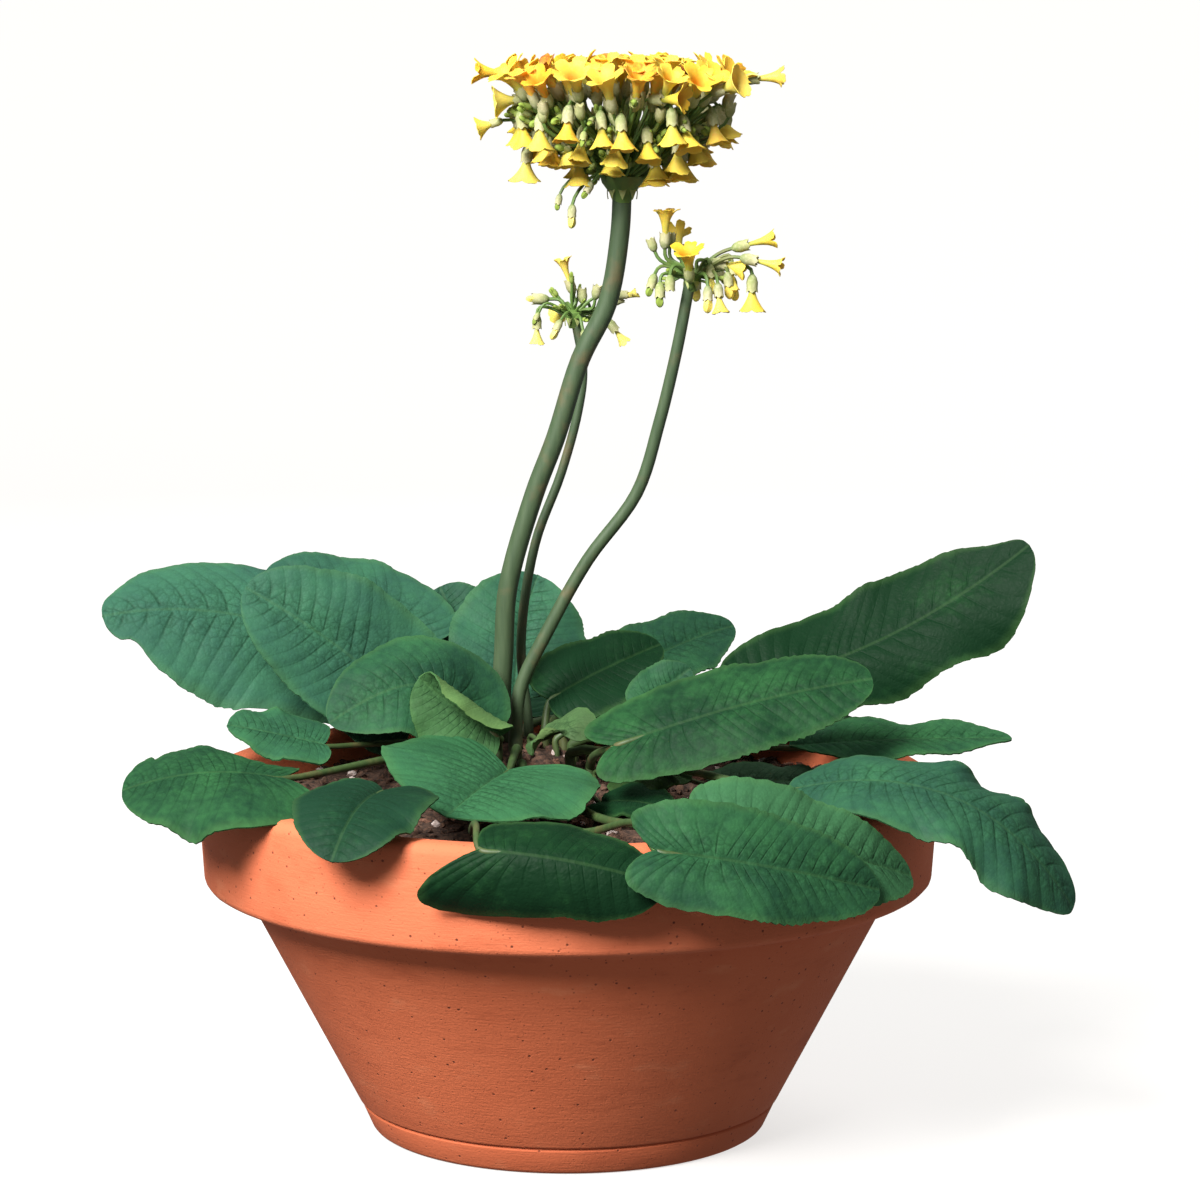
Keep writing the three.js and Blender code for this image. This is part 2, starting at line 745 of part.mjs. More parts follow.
// The two small heads: every flower is placed by hand
const RIGHT_BOSS = { centre: [50, 10, 345], radius: 4, height: 5, lift: 0.3 };
const RIGHT_FLOWERS = [
  { name: "corolla_right_upright", foot: [38.5, 8, 358], aim: [0.05, 0, 1], kind: "funnel" },
  { name: "corolla_right_far", foot: [68, 12, 357], aim: [0.95, 0, 0.28], kind: "funnel" },
  { name: "corolla_right_reaching", foot: [72, 2, 357], aim: [0.9, -0.2, -0.32], kind: "bell" },
  { name: "corolla_right_open", foot: [50, 1, 356], aim: [-0.12, -0.93, -0.1], kind: "bell" },
  { name: "corolla_right_side", foot: [59, 22, 350], aim: [0.85, 0.4, -0.1], kind: "bell" },
  { name: "corolla_right_hanging", foot: [74, 6, 347], aim: [0, 0, -1], kind: "bell" },
  { name: "corolla_right_front", foot: [59, -4, 345], aim: [0.1, -0.2, -1], kind: "bell" },
  { name: "corolla_right_rear", foot: [46, 26, 352], aim: [-0.1, 0.7, 0.6], kind: "funnel" },
  { foot: [36, 9, 352], aim: [-1, 0.1, 0.2], kind: "bud" },
  { foot: [34, 3, 349], aim: [-0.15, -0.1, -1], kind: "bud" },
  { foot: [37, 14, 347], aim: [0, 0.1, -1], kind: "bud" },
  { foot: [42, -2, 349], aim: [0, 0, -1], kind: "bud" },
  { foot: [64, 14, 349], aim: [0.1, 0.1, -1], kind: "bud" },
  { foot: [52, 24, 346], aim: [0, 0.2, -1], kind: "bud" },
];
const BACK_BOSS = { centre: [2, 50, 327], radius: 4, height: 5, lift: 0.3 };
const BACK_FLOWERS = [
  { name: "corolla_back_upright", foot: [3, 50, 333], aim: [-0.28, 0, 0.96], kind: "funnel" },
  { name: "corolla_back_hanging", foot: [-13, 46, 327], aim: [0, 0, -1], kind: "bell" },
  { name: "corolla_back_right", foot: [15, 53, 332], aim: [0.95, 0.1, 0.05], kind: "bell" },
  { name: "corolla_back_drooping", foot: [14, 58, 323], aim: [0.6, 0.35, -0.8], kind: "bell" },
  { name: "corolla_back_rear", foot: [-2, 65, 330], aim: [-0.2, 0.85, -0.3], kind: "bell" },
  { foot: [-7, 50, 334], aim: [-1, -0.15, 0], kind: "bud" },
  { foot: [7, 53, 333], aim: [0.15, 0.2, 1], kind: "bud" },
  { foot: [-6, 41, 328], aim: [-0.2, -0.2, -1], kind: "bud" },
  { foot: [5, 40, 326], aim: [0.25, -0.2, -1], kind: "bud" },
  { foot: [14, 52, 338], aim: [0.95, 0.1, 0.3], kind: "bud" },
  { foot: [9, 62, 328], aim: [0.2, 0.2, -1], kind: "bud" },
];
// Two late buds hang under the main head's left side
const DROOPING_BUDS = [
  { foot: [-1, 6, 378], aim: [-0.15, 0, -1], kind: "bud" },
  { foot: [9, 4, 381], aim: [-0.4, 0, -1], kind: "bud" },
];

// The swollen top of a stem, from which the pedicels spread
function bossSolid({ centre, radius, height }) {
  const profile = [
    [0, -height],
    [0.45 * radius, -height],
    [radius, 0],
    [0.6 * radius, 0.6 * radius],
    [0, 0.7 * radius],
  ];
  return spun(profile, 8, vec(...centre), vec(0, 0, 1));
}

const headOf = (flowers, boss) => flowers.map((spec) => ({ name: spec.name, ...flower({ boss, ...spec }) }));

// Looks of the pieces
const paint = (color, roughness) => new THREE.MeshStandardMaterial({ color, roughness, metalness: 0 });
const TERRACOTTA = paint(0xc8643c, 0.9);
const EARTH = paint(0x3c2a20, 1);
const LEAF_GREEN = paint(0x3f7a4c, 0.65);
const STEM_GREEN = paint(0x5d8050, 0.6);
const PETAL_YELLOW = paint(0xf2c22e, 0.55);

const plant = new THREE.Group();

function addPiece(name, solid, material) {
  const { numProp, vertProperties, triVerts } = solid.getMesh();
  const corners = new Float32Array((vertProperties.length / numProp) * 3);
  for (let i = 0; i < corners.length / 3; i++) {
    corners.set(vertProperties.subarray(i * numProp, i * numProp + 3), i * 3);
  }
  const geometry = new THREE.BufferGeometry();
  geometry.setAttribute("position", new THREE.BufferAttribute(corners, 3));
  geometry.setIndex(new THREE.BufferAttribute(triVerts, 1));
  geometry.computeVertexNormals();
  const mesh = new THREE.Mesh(geometry, material);
  mesh.name = name;
  plant.add(mesh);
}

const leaves = LEAVES.map((given) => ({ ...LEAF_DEFAULTS, ...given }));
const stems = [
  ...Object.values(SCAPES),
  ...leaves.map((leaf) => ({ foot: leafFoot(leaf), radius: PETIOLE.radius })),
];

addPiece("pot", pot(), TERRACOTTA);
addPiece("soil", soil(stems), EARTH);
for (const leaf of leaves) addPiece(leaf.name, leafSolid(leaf), LEAF_GREEN);

const crown = headOf(CROWN_RINGS.flatMap(crownFlowers));
const tiers = BELL_TIERS.map((tier) => headOf(tierFlowers(tier)));
const late = headOf(DROOPING_BUDS, { ...MAIN_HEAD, lift: -0.6 });
const mainFlowers = [...crown, ...tiers.flat(), ...late];
const mainGreen = [scape(SCAPES.main), bossSolid(MAIN_HEAD), ...mainFlowers.map((made) => made.green)];
addPiece("scape_main", joined(mainGreen), STEM_GREEN);
addPiece("corollas_crown", joined(crown.map((made) => made.corolla)), PETAL_YELLOW);
tiers.forEach((tier, i) => {
  addPiece(BELL_TIERS[i].name, joined(tier.map((made) => made.corolla)), PETAL_YELLOW);
});

for (const [name, stem, centre, flowers] of [
  ["scape_right", SCAPES.right, RIGHT_BOSS, RIGHT_FLOWERS],
  ["scape_back", SCAPES.back, BACK_BOSS, BACK_FLOWERS],
]) {
  const head = headOf(flowers, centre);
  addPiece(name, joined([scape(stem), bossSolid(centre), ...head.map((made) => made.green)]), STEM_GREEN);
  for (const made of head) {
    if (made.corolla) addPiece(made.name, made.corolla, PETAL_YELLOW);
  }
}

export default plant;
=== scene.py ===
"""A giant cowslip in a terracotta pan, on a plain pale floor under soft studio light."""
import math
import random

import bmesh
import bpy
from mathutils import Matrix, Vector, noise
from mathutils.geometry import interpolate_bezier


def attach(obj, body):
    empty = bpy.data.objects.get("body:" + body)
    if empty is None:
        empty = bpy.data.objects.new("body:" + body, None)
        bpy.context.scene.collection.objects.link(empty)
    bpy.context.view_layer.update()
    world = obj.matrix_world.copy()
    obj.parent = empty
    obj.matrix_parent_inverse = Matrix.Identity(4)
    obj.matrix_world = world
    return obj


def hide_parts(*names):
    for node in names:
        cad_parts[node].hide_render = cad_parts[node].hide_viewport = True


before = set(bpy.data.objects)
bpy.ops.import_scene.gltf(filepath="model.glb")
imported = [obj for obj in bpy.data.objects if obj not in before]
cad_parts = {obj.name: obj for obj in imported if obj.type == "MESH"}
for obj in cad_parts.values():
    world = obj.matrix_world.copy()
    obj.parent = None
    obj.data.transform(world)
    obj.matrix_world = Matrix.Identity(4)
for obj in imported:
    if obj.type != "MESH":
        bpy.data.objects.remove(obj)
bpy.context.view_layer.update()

# Lengths are millimetres, and a finished piece is scaled to metres.
MILLIMETRE = 0.001
FULL_TURN = 2 * math.pi
UP = Vector((0, 0, 1))

# The camera and what it looks at
CAMERA_TARGET = Vector((13, 0, 216))
CAMERA_DISTANCE = 1600
CAMERA_ELEVATION = math.radians(8.4)
CAMERA_LENS = 118.8

# The stage in millimetres, and the lights, which stand round a point in metres
STAGE = {"radius": 3100, "turn": 900, "height": 4200, "steps": 72}
LIGHT_AIM = Vector((0, 0, 0.2))
LIGHT_DISTANCE = 2.6
WORLD_STRENGTH = 0.25

# The pan. Its groove runs round the foot of the wall, and inset keeps its slow swells inside the form.
POT = {
    "height": 145,
    "base_radius": 80,
    "shoulder_radius": 133,
    "shoulder_height": 103,
    "rim_foot_radius": 148,
    "rim_top_radius": 150,
    "wall": 12,
    "floor": 10,
    "groove_height": 11.5,
    "inset": 0.4,
    "steps": 160,
}
DRAIN_RADIUS = 12

# The soil
SOIL = {"rim_level": 131, "mound_height": 19, "mound_spread": 45, "radius": 136.6, "bottom": 10.4,
        "top_share": 0.82, "settle": 1.2}
CROWN = Vector((-25, 42))
CRUMBS = 900
PERLITE = 150
BARK_CHIPS = 70

# The leaves. A blade's upper face stands off its midrib curve, and its tip stops a little short.
BLADE = {
    "upper": 0.4,
    "thickness": 0.7,
    "tip_room": 1.8,
    "end_ease": 0.6,
    "lobe_span": 0.4,
    "lobe_round": 0.7,
    "base_round": 0.38,
    "vein_sweep": 0.12,
    "vein_bow": 0.8,
    "vein_wander": 0.3,
    "left_phase": 2,
    "flutter": 2.4,
    "pillow": 0.8,
    "pucker": 0.22,
    "pucker_size": 5,
    "groove": 0.6,
    "groove_width": 1.3,
    "columns_per_width": 0.45,
    "rows_per_length": 1.1,
}
STALK = {"radius": 2.3, "tip_radius": 1.2, "stub": 13, "rise": 6, "sides": 10}
# The stalk goes on under its blade as a keel. start and step are shares along the blade's midrib.
KEEL = {"start": 0.12, "step": 0.1, "steps": 7, "radius": 0.35, "depth": 0.4, "sunk": 0.85}
UPPER_FACE, UNDER_FACE, STALK_FACE = range(3)

# One flower. Outlines are pairs of a height above the foot of its calyx and a radius.
LOBES = 5
BELL_OUTLINE = [(5, 1.2), (6.8, 1.5), (9, 2.3), (11.5, 3.8), (13.6, 5.6), (15, 7.4)]
FUNNEL_OUTLINE = [(5, 1.4), (8.5, 1.7), (12.5, 2.7), (15.2, 4.4), (16.8, 6.6), (17.5, 9)]
CALYX_OUTLINE = [(-0.4, 0), (0, 0.9), (1.2, 1.8), (3.2, 2.35), (5.2, 2.2), (6.8, 2.35), (6.2, 1.8),
                 (4.9, 0)]
CALYX_RIM = 5
BUD_OUTLINE = [(4.6, 0), (5.4, 1.5), (8, 2.1), (10.5, 2.2), (12.3, 1.5), (13, 0)]
PETAL = {
    "thickness": 0.28,
    "funnel_sinus": 0.4,
    "bell_sinus": 0.17,
    "lobe_round": 0.75,
    "bends": (-1.6, 1.1),
    "lengths": (0.86, 1.03),
    "twists": (-1.2, 1.6),
    "notches": (0.04, 0.13),
    "notch_width": 0.12,
}
PEDICEL = {"radius": 0.75, "foot_share": 1.15, "leave": 0.4, "rise": 7, "boss_share": 0.58, "sway": 1.5,
           "points": 9, "sides": 6}
BRACT = {"width": 0.26, "reach": 0.13, "drop": 0.75, "hollow": 0.25, "thickness": 0.4}
STEM_FACE, CALYX_FACE, BUD_FACE, PEDICEL_FACE = range(4)


# Materials

class Wire:
    """A value inside a material. Sums and products of such values add Math nodes."""

    def __init__(self, paint, socket):
        self.paint = paint
        self.socket = socket

    def __add__(self, other):
        return self.paint.maths("ADD", self, other)

    def __sub__(self, other):
        return self.paint.maths("SUBTRACT", self, other)

    def __rsub__(self, other):
        return self.paint.maths("SUBTRACT", other, self)

    def __mul__(self, other):
        return self.paint.maths("MULTIPLY", self, other)

    def __abs__(self):
        return self.paint.maths("ABSOLUTE", self, 0)

    __radd__ = __add__
    __rmul__ = __mul__


class Paint:
    """The nodes of one material."""

    def __init__(self, name):
        self.material = bpy.data.materials.new(name)
        self.material.use_nodes = True
        self.tree = self.material.node_tree
        self.tree.nodes.clear()
        self.place = self.node("ShaderNodeTexCoord").outputs["Object"]

    def node(self, kind, settings=None, **sockets):
        """A node with its settings, then the values or links of its sockets, by name or by number."""
        made = self.tree.nodes.new(kind)
        for key, value in (settings or {}).items():
            setattr(made, key, value)
        for key, value in sockets.items():
            socket = made.inputs[int(key[1:])] if key[1:].isdigit() else made.inputs[key.replace("_", " ")]
            source = value.socket if isinstance(value, Wire) else value
            if isinstance(source, bpy.types.NodeSocket):
                self.tree.links.new(source, socket)
            else:
                socket.default_value = source
        return made

    def maths(self, operation, first, second):
        made = self.node("ShaderNodeMath", {"operation": operation}, n0=first, n1=second)
        return Wire(self, made.outputs[0])

    def parts(self, vector):
        return [Wire(self, socket) for socket in self.node("ShaderNodeSeparateXYZ", n0=vector).outputs]

    def attribute(self, name):
        """The three numbers that the mesh carries under a name."""
        return self.parts(self.node("ShaderNodeAttribute", {"attribute_name": name}).outputs["Vector"])

    def squashed(self, times):
        """The place with its heights multiplied: noise gets upright streaks below 1, level bands above."""
        return self.node("ShaderNodeMapping", n0=self.place, Scale=(1, 1, times)).outputs[0]

    def clouds(self, size, detail=3.0, roughness=0.55, vector=None):
        """Soft noise from 0 to 1, with patches of about the given size in millimetres."""
        made = self.node(
            "ShaderNodeTexNoise",
            Vector=vector or self.place, Scale=1 / (size * MILLIMETRE), Detail=detail, Roughness=roughness,
        )
        return Wire(self, made.outputs["Fac"])

    def cells(self, size, feature="F1"):
        """The distance from the middle or the edge of cells of the given size in millimetres."""
        made = self.node(
            "ShaderNodeTexVoronoi", {"feature": feature}, Vector=self.place, Scale=1 / (size * MILLIMETRE),
        )
        return Wire(self, made.outputs["Distance"])

    def between(self, value, low, high):
        """0 at the low value, 1 at the high one, and a smooth step between."""
        made = self.node(
            "ShaderNodeMapRange", {"interpolation_type": "SMOOTHSTEP"},
            Value=value, From_Min=low, From_Max=high,
        )
        return Wire(self, made.outputs["Result"])

    def blend(self, share, first, second):
        made = self.node("ShaderNodeMix", {"data_type": "RGBA"}, n0=share, n6=first, n7=second)
        return made.outputs[2]

    def coats(self, base, *coats):
        """A colour with others laid over it in turn, each by its share."""
        for share, laid in coats:
            base = self.blend(share, base, laid)
        return base

    def ridges(self, count):
        """0 halfway between whole counts and 1 at each of them."""
        return abs(self.maths("FRACT", count, 0) - 0.5) * 2

    def bump(self, height, strength=1.0):
        """Relief from a height in millimetres."""
        made = self.node("ShaderNodeBump", Height=height, Distance=MILLIMETRE, Strength=strength)
        return made.outputs["Normal"]

    def finish(self, colour, roughness, normal=None, **constants):
        sockets = {"Base_Color": colour, "Roughness": roughness, **constants}
        if normal is not None:
            sockets["Normal"] = normal
        shader = self.node("ShaderNodeBsdfPrincipled", **sockets)
        self.node("ShaderNodeOutputMaterial", Surface=shader.outputs[0])
        return self.material


def linear(part):
    """A part of a screen colour, from 0 to 255, as Blender's linear one."""
    return ((part / 255 + 0.055) / 1.055) ** 2.4 if part > 10 else part / 3294


def colour(red, green, blue_tint_and_sheen):
    return linear(red), linear(green), linear(blue_tint_and_sheen), 1


def leaf_material(name, deep, fresh, blue_tint_and_sheen, olive, margin, rib, gloss, under):
    """A leaf face. marks is the share across, the count of side veins, and the millimetres from the rib."""
    paint = Paint(name)
    across, count, away = paint.attribute("marks")
    light, warm, blue_tint_and_sheen_share = paint.attribute("tone")
    vein = paint.ridges(count + paint.maths("GREATER_THAN", away, 0) * 0.5)
    off_rib = abs(away)
    inner = 1 - paint.between(abs(across), 0.1, 0.8)
    side_vein = paint.between(vein, 0.78, 1.0) * paint.between(off_rib, 0.5, 2.2) * (inner * 0.75 + 0.25)
    between_veins = paint.cells(4.2, "DISTANCE_TO_EDGE")
    net = paint.cells(1.9, "DISTANCE_TO_EDGE")
    net_line = (1 - paint.between(between_veins, 0.0, 0.16)) * 0.6
    net_line = net_line + (1 - paint.between(net, 0.0, 0.14)) * 0.4
    patches = paint.clouds(24)
    mottle = paint.clouds(3.0, 4.0)
    lightness = patches * 0.7 + mottle * 0.3 + light * 0.6 - 0.3
    base = paint.coats(
        deep,
        (paint.between(lightness, 0.2, 0.8), fresh),
        # A blue share that is partly the leaf's own tint and partly painted sheen
        (blue_tint_and_sheen_share, blue_tint_and_sheen),
        (warm, olive),
        # The veinlet net on both faces and the side veins on the upper face are painted darker: painted
        # shade in the grooves of the veins. On the underside the side veins are paler, their own colour.
        (net_line * (inner * 0.4 + 0.1), deep),
        (side_vein * (0.3 if under else 0.5), rib if under else deep),
        # A paler margin: partly its own yellow-green and partly a painted highlight where the teeth catch
        # the light
        (paint.between(abs(across) + patches * 0.1, 0.88, 1.06) * 0.2, margin),
        ((1 - paint.between(off_rib, 0.3, 0.9)) * (0.8 if under else 0.14), rib),
    )
    relief = (paint.between(between_veins, 0.0, 0.4) * (inner * 0.16 + 0.03)
              + paint.between(net, 0.0, 0.35) * 0.06 + mottle * 0.07 - side_vein * 0.2)
    roughness = gloss + mottle * 0.12 + net_line * 0.06
    return paint.finish(base, roughness, paint.bump(relief, 0.8), Specular_IOR_Level=0.07)


def stalk_material(name, green, pale, gloss):
    """A green stalk with pale streaks along it and a few reddish brown patches."""
    paint = Paint(name)
    streaks = paint.clouds(3, 3.0, vector=paint.squashed(0.12))
    patches = paint.between(paint.clouds(14), 0.5, 0.75)
    base = paint.coats(green, (streaks, pale), (patches * 0.35, colour(128, 96, 66)))
    return paint.finish(base, gloss + streaks * 0.2, paint.bump(streaks * 0.25, 0.6))


def calyx_material():
    """A pale ribbed calyx with white meal. Its tone says how green and how dry it is."""
    paint = Paint("calyx")
    around, along, _ = paint.attribute("marks")
    green, dry, _ = paint.attribute("tone")
    meal = paint.clouds(1.3, 3.0)
    base = paint.coats(
        colour(108, 124, 76),
        (paint.between(along, 0.1, 0.7), colour(180, 174, 132)),
        (green, colour(128, 150, 56)),
        (paint.between(paint.ridges(around * LOBES), 0.6, 0.95) * 0.25, colour(116, 128, 80)),
        (paint.between(meal, 0.45, 0.65) * (1 - green) * 0.4, colour(202, 196, 162)),
        (dry * 0.7, colour(150, 104, 62)),
    )
    return paint.finish(base, 0.7 + meal * 0.12, paint.bump(meal * 0.12, 0.5))


def petal_material(name, throat, limb, heart):
    """A petal face. The second of marks is the share along, and tone says how old, dry and pale it is."""
    paint = Paint(name)
    _, along, _ = paint.attribute("marks")
    age, dry, pale = paint.attribute("tone")
    streaks = paint.clouds(1.6, 3.0)
    base = paint.coats(
        throat,
        (paint.between(along, 0.0, 0.6), limb),
        # Near the throat a deep orange by the heart share: partly the flower's own colour, partly painted
        # shade down the throat
        ((1 - paint.between(along, 0.25, 0.6)) * heart, colour(206, 128, 22)),
        (paint.between(streaks + age * 0.8, 0.62, 1.25), colour(226, 152, 44)),
        (pale, colour(216, 204, 108)),
        # Painted highlight: the lobe tips are painted paler and brighter
        (paint.between(along + streaks * 0.14, 0.9, 1.08) * 0.35, colour(232, 206, 92)),
        (paint.between(dry + streaks * 0.5 + along * 0.3, 0.75, 1.15), colour(136, 74, 30)),
    )
    return paint.finish(
        base, 0.5 + streaks * 0.18, paint.bump(streaks * 0.16, 0.6),
        Subsurface_Weight=0.25, Subsurface_Scale=0.0016, Subsurface_Radius=(1.0, 0.6, 0.12),
        Specular_IOR_Level=0.3,
    )


def terracotta_material():
    """Fired clay with wiped patches, dark specks, pits and fine scratches from the wheel, and a rim that
    is painted lighter: a painted highlight where the light falls.
    """
    paint = Paint("terracotta")
    height = paint.parts(paint.place)[2]
    patches = paint.clouds(70, 4.0, 0.6)
    wiped = paint.clouds(30, 5.0, 0.6, paint.squashed(2.6))
    grit = paint.clouds(1.1, 3.0)
    pits = paint.cells(5.5)
    specks = paint.cells(2.6)
    scratch = paint.clouds(9, 4.0, 0.6, paint.squashed(14))
    base = paint.coats(
        colour(184, 90, 54),
        (patches, colour(208, 112, 74)),
        # Painted highlight: above 100 mm the rim is painted lighter where the light falls on it
        (paint.between(height, 0.1, 0.106) * 0.4, colour(212, 116, 82)),
        (paint.between(wiped, 0.52, 0.74) * 0.4, colour(166, 78, 46)),
        ((1 - paint.between(wiped, 0.26, 0.44)) * 0.35, colour(214, 136, 98)),
        ((1 - paint.between(specks, 0.1, 0.2)) * paint.between(grit, 0.45, 0.6) * 0.6, colour(108, 48, 30)),
        # The pits are painted dark as well as sunk: painted shade in their hollows
        ((1 - paint.between(pits, 0.05, 0.12)) * 0.8, colour(84, 36, 24)),
        # Painted shade: the foot is painted darker below 30 mm, low by the floor
        ((1 - paint.between(height, 0.004, 0.03)) * 0.3, colour(140, 66, 40)),
    )
    relief = (grit * 0.22 + scratch * 0.2 + paint.between(pits, 0.04, 0.13) * 0.35
              + paint.between(specks, 0.08, 0.2) * 0.08)
    return paint.finish(base, 0.84 - patches * 0.1, paint.bump(relief, 0.75), Specular_IOR_Level=0.3)


def crumb_material(name, dark, light, size, gloss):
    """A crumbly stuff of two colours, with grains of about the given size in millimetres."""
    paint = Paint(name)
    grain = paint.clouds(size, 5.0, 0.65)
    base = paint.blend(paint.between(grain, 0.35, 0.68), dark, light)
    return paint.finish(base, gloss, paint.bump(grain * 0.6, 1.0))


def floor_material():
    """The pale floor shines a little of itself, so that its shadows stay soft."""
    pale = colour(240, 239, 237)
    return Paint("pale floor").finish(
        colour(138, 137, 136), 0.7, Emission_Color=pale, Emission_Strength=0.82,
    )


LEAF_UPPER = leaf_material(
    "leaf upper face", deep=colour(12, 40, 21), fresh=colour(44, 92, 48), blue_tint_and_sheen=colour(58, 102, 88),
    olive=colour(96, 100, 38), margin=colour(76, 114, 60), rib=colour(72, 104, 60), gloss=0.5,
    under=False,
)
LEAF_UNDER = leaf_material(
    "leaf underside", deep=colour(42, 76, 42), fresh=colour(70, 108, 58), blue_tint_and_sheen=colour(72, 104, 82),
    olive=colour(108, 112, 52), margin=colour(100, 128, 72), rib=colour(104, 130, 78), gloss=0.55,
    under=True,
)
LEAF_STALK = stalk_material("leaf stalk", colour(36, 56, 26), colour(66, 88, 44), 0.46)
STEM = stalk_material("flowering stem", colour(42, 63, 40), colour(76, 94, 64), 0.46)
PEDICEL_GREEN = stalk_material("pedicel", colour(60, 90, 36), colour(104, 134, 62), 0.5)
CALYX = calyx_material()
PETAL_OUTSIDE = petal_material("petal outside", colour(152, 162, 64), colour(226, 192, 64), 0)
# The inside is deeper gold than the outside: partly its own colour and partly painted shade inside the
# trumpet, deepest in the throat.
PETAL_INSIDE = petal_material("petal inside", colour(206, 154, 34), colour(226, 178, 50), 0.8)
TERRACOTTA = terracotta_material()
EARTH = crumb_material("earth", colour(38, 25, 19), colour(100, 72, 56), 2.0, 0.95)
BARK = crumb_material("bark", colour(66, 40, 28), colour(142, 100, 80), 2.0, 0.85)
PERLITE_WHITE = crumb_material("perlite", colour(190, 168, 160), colour(226, 212, 206), 1.4, 0.9)
FLOOR = floor_material()


# Shapes

class Shape:
    """One piece while it is modelled, in millimetres. Its vertices carry marks and a tone for materials."""

    def __init__(self, name, *materials):
        self.name = name
        self.materials = materials
        self.bm = bmesh.new()
        layers = self.bm.verts.layers.float_vector
        self.marks, self.tone, self.inner = [layers.new(layer) for layer in ("marks", "tone", "inner")]

    def sheet(self, columns, rows, place, look=0, tone=(0, 0, 0), thickness=0, under=None):
        """A grid whose vertices go where place says, from their shares across and along it. Those that
        meet are merged."""
        grid = bmesh.ops.create_grid(self.bm, x_segments=columns, y_segments=rows, size=0.5)
        for vert in grid["verts"]:
            point, marks = place(vert.co.x + 0.5, vert.co.y + 0.5)
            vert.co = point
            vert[self.marks] = marks
            vert[self.tone] = tone
        bmesh.ops.remove_doubles(self.bm, verts=grid["verts"], dist=0.002)
        verts = [vert for vert in grid["verts"] if vert.is_valid]
        faces = list(dict.fromkeys(face for vert in verts for face in vert.link_faces))
        for face in faces:
            face.material_index = look
        if thickness:
            self.thicken(verts, faces, thickness, look if under is None else under)

    def thicken(self, verts, faces, thickness, under):
        """Open faces get a second face below them, at the same depth everywhere, and a rim between."""
        for face in faces:
            face.normal_update()
        for vert in verts:
            vert.normal_update()
            vert[self.inner] = vert.co - vert.normal * thickness
        made = bmesh.ops.solidify(self.bm, geom=faces, thickness=thickness)
        for item in made["geom"]:
            if isinstance(item, bmesh.types.BMFace):
                item.material_index = under
            elif isinstance(item, bmesh.types.BMVert):
                item.co = item[self.inner]

    def tube(self, path, radii, sides, look=0, tone=(0, 0, 0), seed=0.0):
        """A closed round bar along a path, with a radius for each point."""
        points = [path[0], *path, path[-1]]
        widths = [0, *radii, 0]
        frames = cross_frames(path)
        frames = [frames[0], *frames, frames[-1]]
        rows = len(points) - 1

        def place(around, along):
            k = round(along * rows)
            side, other = frames[k]
            angle = around * FULL_TURN
            out = side * math.cos(angle) + other * math.sin(angle)
            return points[k] + out * widths[k], (around, along, seed)

        self.sheet(sides, rows, place, look, tone)

    def build(self, sharp=50):
        """The shape as an object of its own, scaled to metres."""
        bmesh.ops.scale(self.bm, verts=self.bm.verts, vec=(MILLIMETRE,) * 3)
        mesh = bpy.data.meshes.new(self.name)
        for face in self.bm.faces:
            face.smooth = True
        self.bm.to_mesh(mesh)
        self.bm.free()
        mesh.set_sharp_from_angle(angle=math.radians(sharp))
        for material in self.materials:
            mesh.materials.append(material)
        piece = bpy.data.objects.new(self.name, mesh)
        bpy.context.scene.collection.objects.link(piece)
        return piece

    def finish(self, slot, *nodes, sharp=50):
        """The finished piece, which rides on the object and stands for the nodes."""
        piece = self.build(sharp)
        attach(piece, "root")
        if nodes:
            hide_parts(*nodes)


def ring_point(radius, around, height):
    """A point on a level ring, at a share of a full turn."""
    angle = around * FULL_TURN
    return Vector((radius * math.cos(angle), radius * math.sin(angle), height))


def cross_frames(path):
    """Two cross directions at each point of a path, which turn as little as they can along it."""
    side = Vector((0.36, 0.48, 0.8)).cross(path[1] - path[0]).normalized()
    frames = []
    for k in range(len(path)):
        ahead = (path[min(k + 1, len(path) - 1)] - path[max(k - 1, 0)]).normalized()
        side = (side - ahead * side.dot(ahead)).normalized()
        frames.append((side, ahead.cross(side)))
    return frames


def mix(first, second, share):
    return first + (second - first) * share


def smooth_path(points, steps):
    """A smooth curve through points, with a number of steps for each span."""
    first = 2 * points[0] - points[1]
    last = 2 * points[-1] - points[-2]
    held = [first, *points, last]
    path = []
    for before, start, end, after in zip(held, held[1:], held[2:], held[3:]):
        gaps = [math.sqrt((b - a).length) for a, b in ((before, start), (start, end), (end, after))]
        leave = (start - before) / gaps[0] - (end - before) / (gaps[0] + gaps[1]) + (end - start) / gaps[1]
        arrive = (end - start) / gaps[1] - (after - start) / (gaps[1] + gaps[2]) + (after - end) / gaps[2]
        handles = start + leave * gaps[1] / 3, end - arrive * gaps[1] / 3
        path += interpolate_bezier(start, *handles, end, steps + 1)[:-1]
    return [*path, points[-1]]


def spin_profile(shape, profile, steps):
    """A closed shape spun round the upright axis from a profile of radii and heights."""
    verts = [shape.bm.verts.new((radius, 0, height)) for radius, height in profile]
    edges = [shape.bm.edges.new(pair) for pair in zip(verts, verts[1:])]
    bmesh.ops.spin(
        shape.bm, geom=verts + edges, cent=(0, 0, 0), axis=(0, 0, 1),
        angle=FULL_TURN, steps=steps, use_merge=True,
    )
    bmesh.ops.remove_doubles(shape.bm, verts=shape.bm.verts, dist=0.001)
    bmesh.ops.recalc_face_normals(shape.bm, faces=shape.bm.faces)


def round_ring(shape, radius, height, rounding):
    """The edges of a spun shape at one of its corners are rounded."""
    ring = [
        edge for edge in shape.bm.edges
        if all(abs(vert.co.z - height) < 0.01 and abs(vert.co.xy.length - radius) < 0.01
               for vert in edge.verts)
    ]
    bmesh.ops.bevel(
        shape.bm, geom=ring, offset=rounding, offset_type="OFFSET", affect="EDGES",
        segments=3, profile=0.5, material=-1, clamp_overlap=True,
    )


# The pan

